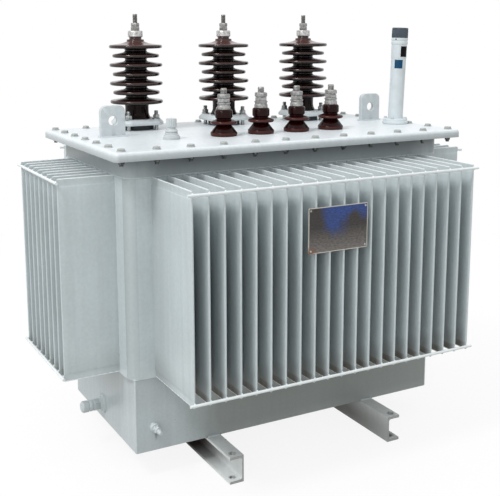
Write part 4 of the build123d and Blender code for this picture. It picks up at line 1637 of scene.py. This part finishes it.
@dataclass
class RatingPlate:
    """The bare rating plate on the tips of the front fins."""

    left: float = -116.0
    right: float = 74.0
    bottom: float = 662.0
    top: float = 786.0
    border: float = 2.4
    thickness: float = 2.2
    corner: float = 3.0
    rivet: Profile = ((0.5, 0.0, 0), (3.2, 0.0, 0), (2.8, 1.4, 1.0), (0.5, 2.0, 0))
    rivet_inset: float = 7.5
    rivet_sunk: float = 0.9

    def build(self) -> None:
        """Make the plate with its raised border and rivets."""
        tip = box_mm("front_fin_bank")[0].y
        length, tall = self.right - self.left, self.top - self.bottom
        middle = Vector(((self.left + self.right) / 2, tip, (self.bottom + self.top) / 2))
        place = Matrix.Translation(middle) @ Matrix.Rotation(math.pi / 2, 4, "X")

        def framed(point: Vector) -> float:
            """Mark the bare border of the plate."""
            edge = min(length / 2 - abs(point.x), tall / 2 - abs(point.y))
            return 1.0 if edge < self.border * 0.9 else 0.0

        face, edge = self.thickness, self.border
        steps = ((0.0, 0.0), (0.0, face - 0.4), (0.4, face), (edge * 0.8, face), (edge, face - 0.7),
                 (edge + 6.0, face - 0.8))
        rings = [rounded_rectangle(length - 2 * inset, tall - 2 * inset, self.corner, height)
                 for inset, height in steps]
        plate = Draft()
        plate.skin(rings, place, framed)
        washes = ((self.left + length * 0.45, self.top - tall * 0.2, length * 0.24, tall * 0.5),
                  (self.left + length * 0.6, self.top, length * 0.36, tall * 0.22),
                  (self.right, self.top, length * 0.22, tall * 0.4))
        finish = LacqueredPlate("lacquered_aluminium_plate", washes, (self.left, self.bottom),
                                (self.bottom, self.bottom + tall * 0.55))
        plate.build("rating_plate_bare", finish, "zinc_steel")
        rivets = Draft()
        across, upward = length / 2 - self.rivet_inset, tall / 2 - self.rivet_inset
        for x in (-across, across):
            for y in (-upward, upward):
                spot = place @ Matrix.Translation((x, y, face - self.rivet_sunk))
                rivets.turn(self.rivet, spot, 16)
        rivets.build("rating_plate_rivets", ZINC_STEEL, "zinc_steel")


# Studio

@dataclass(frozen=True)
class Softbox:
    """A square lamp with a wide soft face: place, aim and side in metres, and power in watts."""

    name: str
    place: tuple[float, float, float]
    aim: tuple[float, float, float]
    side: float
    watts: float

    def build(self) -> None:
        """Hang the lamp."""
        data = bpy.data.lights.new(self.name, "AREA")
        data.shape = "SQUARE"
        data.size = self.side
        data.energy = self.watts
        lamp = bpy.data.objects.new(self.name, data)
        lamp.location = self.place
        lamp.rotation_euler = (Vector(self.aim) - lamp.location).to_track_quat("-Z", "Y").to_euler()
        bpy.context.scene.collection.objects.link(lamp)


@dataclass
class Studio:
    """A pale floor, soft lamps, a white surround and the photograph's camera."""

    lamps: tuple[Softbox, ...] = (
        Softbox("key_softbox", (-6.1, -1.74, 9.26), (0.0, 0.0, 0.7), 2.4, 470.0),
        Softbox("fill_softbox", (-3.4, -2.6, 1.6), (0.0, 0.0, 0.6), 1.6, 20.0),
    )
    zenith: float = 1.2
    horizon: float = 0.39
    floor_side: float = 60.0
    floor_colour: str = "#bcbcb8"
    paper_colour: str = "#f4f4f4"
    white_share: float = 0.88
    shadow_reach: tuple[float, float] = (0.9, 3.0)
    camera_place: tuple[float, float, float] = (-1.350, -2.4575, 1.2485)
    camera_turn: tuple[float, float, float] = (80.126, 0.082, -28.658)
    lens: float = 64.39
    sensor: float = 36.0
    shift: float = -0.126

    def build(self) -> None:
        """Set up the floor, the lamps, the surround and the camera."""
        self.floor()
        for lamp in self.lamps:
            lamp.build()
        self.surround()
        self.camera()
        bpy.context.scene.view_settings.view_transform = "Standard"

    def seen(self, tree: Tree) -> Socket:
        """Tell the rays that show the surround from the ones that only carry its light.

        Args:
            tree: the node tree that gets the nodes.

        Returns:
            The socket that is 1 for rays from the camera, and off or through a shiny surface.
        """
        path = add_node(tree, "ShaderNodeLightPath").outputs
        shown = path["Is Camera Ray"]
        for kind in ("Is Glossy Ray", "Is Transmission Ray"):
            shown = add_node(tree, "ShaderNodeMath", {0: shown, 1: path[kind]},
                             operation="MAXIMUM").outputs[0]
        return shown

    def floor(self) -> None:
        """Lay a plain pale floor that looks white and keeps the object's shadow."""
        mesh = bpy.data.meshes.new("studio_floor")
        half = self.floor_side / 2
        corners = [(-half, -half, 0), (half, -half, 0), (half, half, 0), (-half, half, 0)]
        mesh.from_pydata(corners, [], [(0, 1, 2, 3)])
        floor = bpy.data.objects.new("studio_floor", mesh)
        bpy.context.scene.collection.objects.link(floor)
        paper = bpy.data.materials.new("studio_paper")
        paper.use_nodes = True
        tree = paper.node_tree
        tree.nodes.clear()
        dim = add_node(tree, "ShaderNodeBsdfDiffuse", {"Color": linear(self.floor_colour)}).outputs[0]
        pale = add_node(tree, "ShaderNodeBsdfDiffuse", {"Color": linear(self.paper_colour)}).outputs[0]
        white = add_node(tree, "ShaderNodeEmission", {"Strength": 1.0}).outputs[0]
        place = add_node(tree, "ShaderNodeTexCoord").outputs["Object"]
        away = add_node(tree, "ShaderNodeVectorMath", {0: place}, operation="LENGTH").outputs["Value"]
        near, far = self.shadow_reach
        share = add_node(tree, "ShaderNodeMapRange", {
            "Value": away, "From Min": near, "From Max": far, "To Min": self.white_share}).outputs[0]
        shown = add_node(tree, "ShaderNodeMixShader", {0: share, 1: pale, 2: white}).outputs[0]
        both = add_node(tree, "ShaderNodeMixShader", {0: self.seen(tree), 1: dim, 2: shown}).outputs[0]
        add_node(tree, "ShaderNodeOutputMaterial", {"Surface": both})
        mesh.materials.append(paper)

    def surround(self) -> None:
        """Make the world white to look at, and a soft light that is strongest from above."""
        world = bpy.data.worlds.new("white_surround")
        bpy.context.scene.world = world
        world.use_nodes = True
        tree = world.node_tree
        tree.nodes.clear()
        ray = add_node(tree, "ShaderNodeTexCoord").outputs["Generated"]
        upward = add_node(tree, "ShaderNodeSeparateXYZ", {"Vector": ray}).outputs["Z"]
        sky = add_node(tree, "ShaderNodeMapRange", {
            "Value": upward, "To Min": self.horizon, "To Max": self.zenith}).outputs[0]
        level = add_node(tree, "ShaderNodeMapRange", {"Value": self.seen(tree), "To Min": sky}).outputs[0]
        white = linear("#ffffff")
        glow = add_node(tree, "ShaderNodeBackground", {"Color": white, "Strength": level}).outputs[0]
        add_node(tree, "ShaderNodeOutputWorld", {"Surface": glow})

    def camera(self) -> None:
        """Stand the camera where the photograph was taken."""
        data = bpy.data.cameras.new("photograph_camera")
        data.lens = self.lens
        data.sensor_width = self.sensor
        data.shift_y = self.shift
        camera = bpy.data.objects.new("photograph_camera", data)
        camera.location = self.camera_place
        camera.rotation_euler = [math.radians(angle) for angle in self.camera_turn]
        bpy.context.scene.collection.objects.link(camera)
        bpy.context.scene.camera = camera


def main() -> None:
    """Build the sub-assemblies in order, then the studio."""
    logging.basicConfig(level=logging.INFO, format="%(name)s: %(message)s")
    Tank().build()
    for side in Side:
        FinBank(side).build()
    Cover().build()
    for letter in "abc":
        HighVoltageBushing(letter).build()
    for letter in "abcd":
        LowVoltageBushing(letter).build()
    OilGauge().build()
    SmallFittings().build()
    RatingPlate().build()
    Studio().build()


if __name__ == "__main__":
    main()
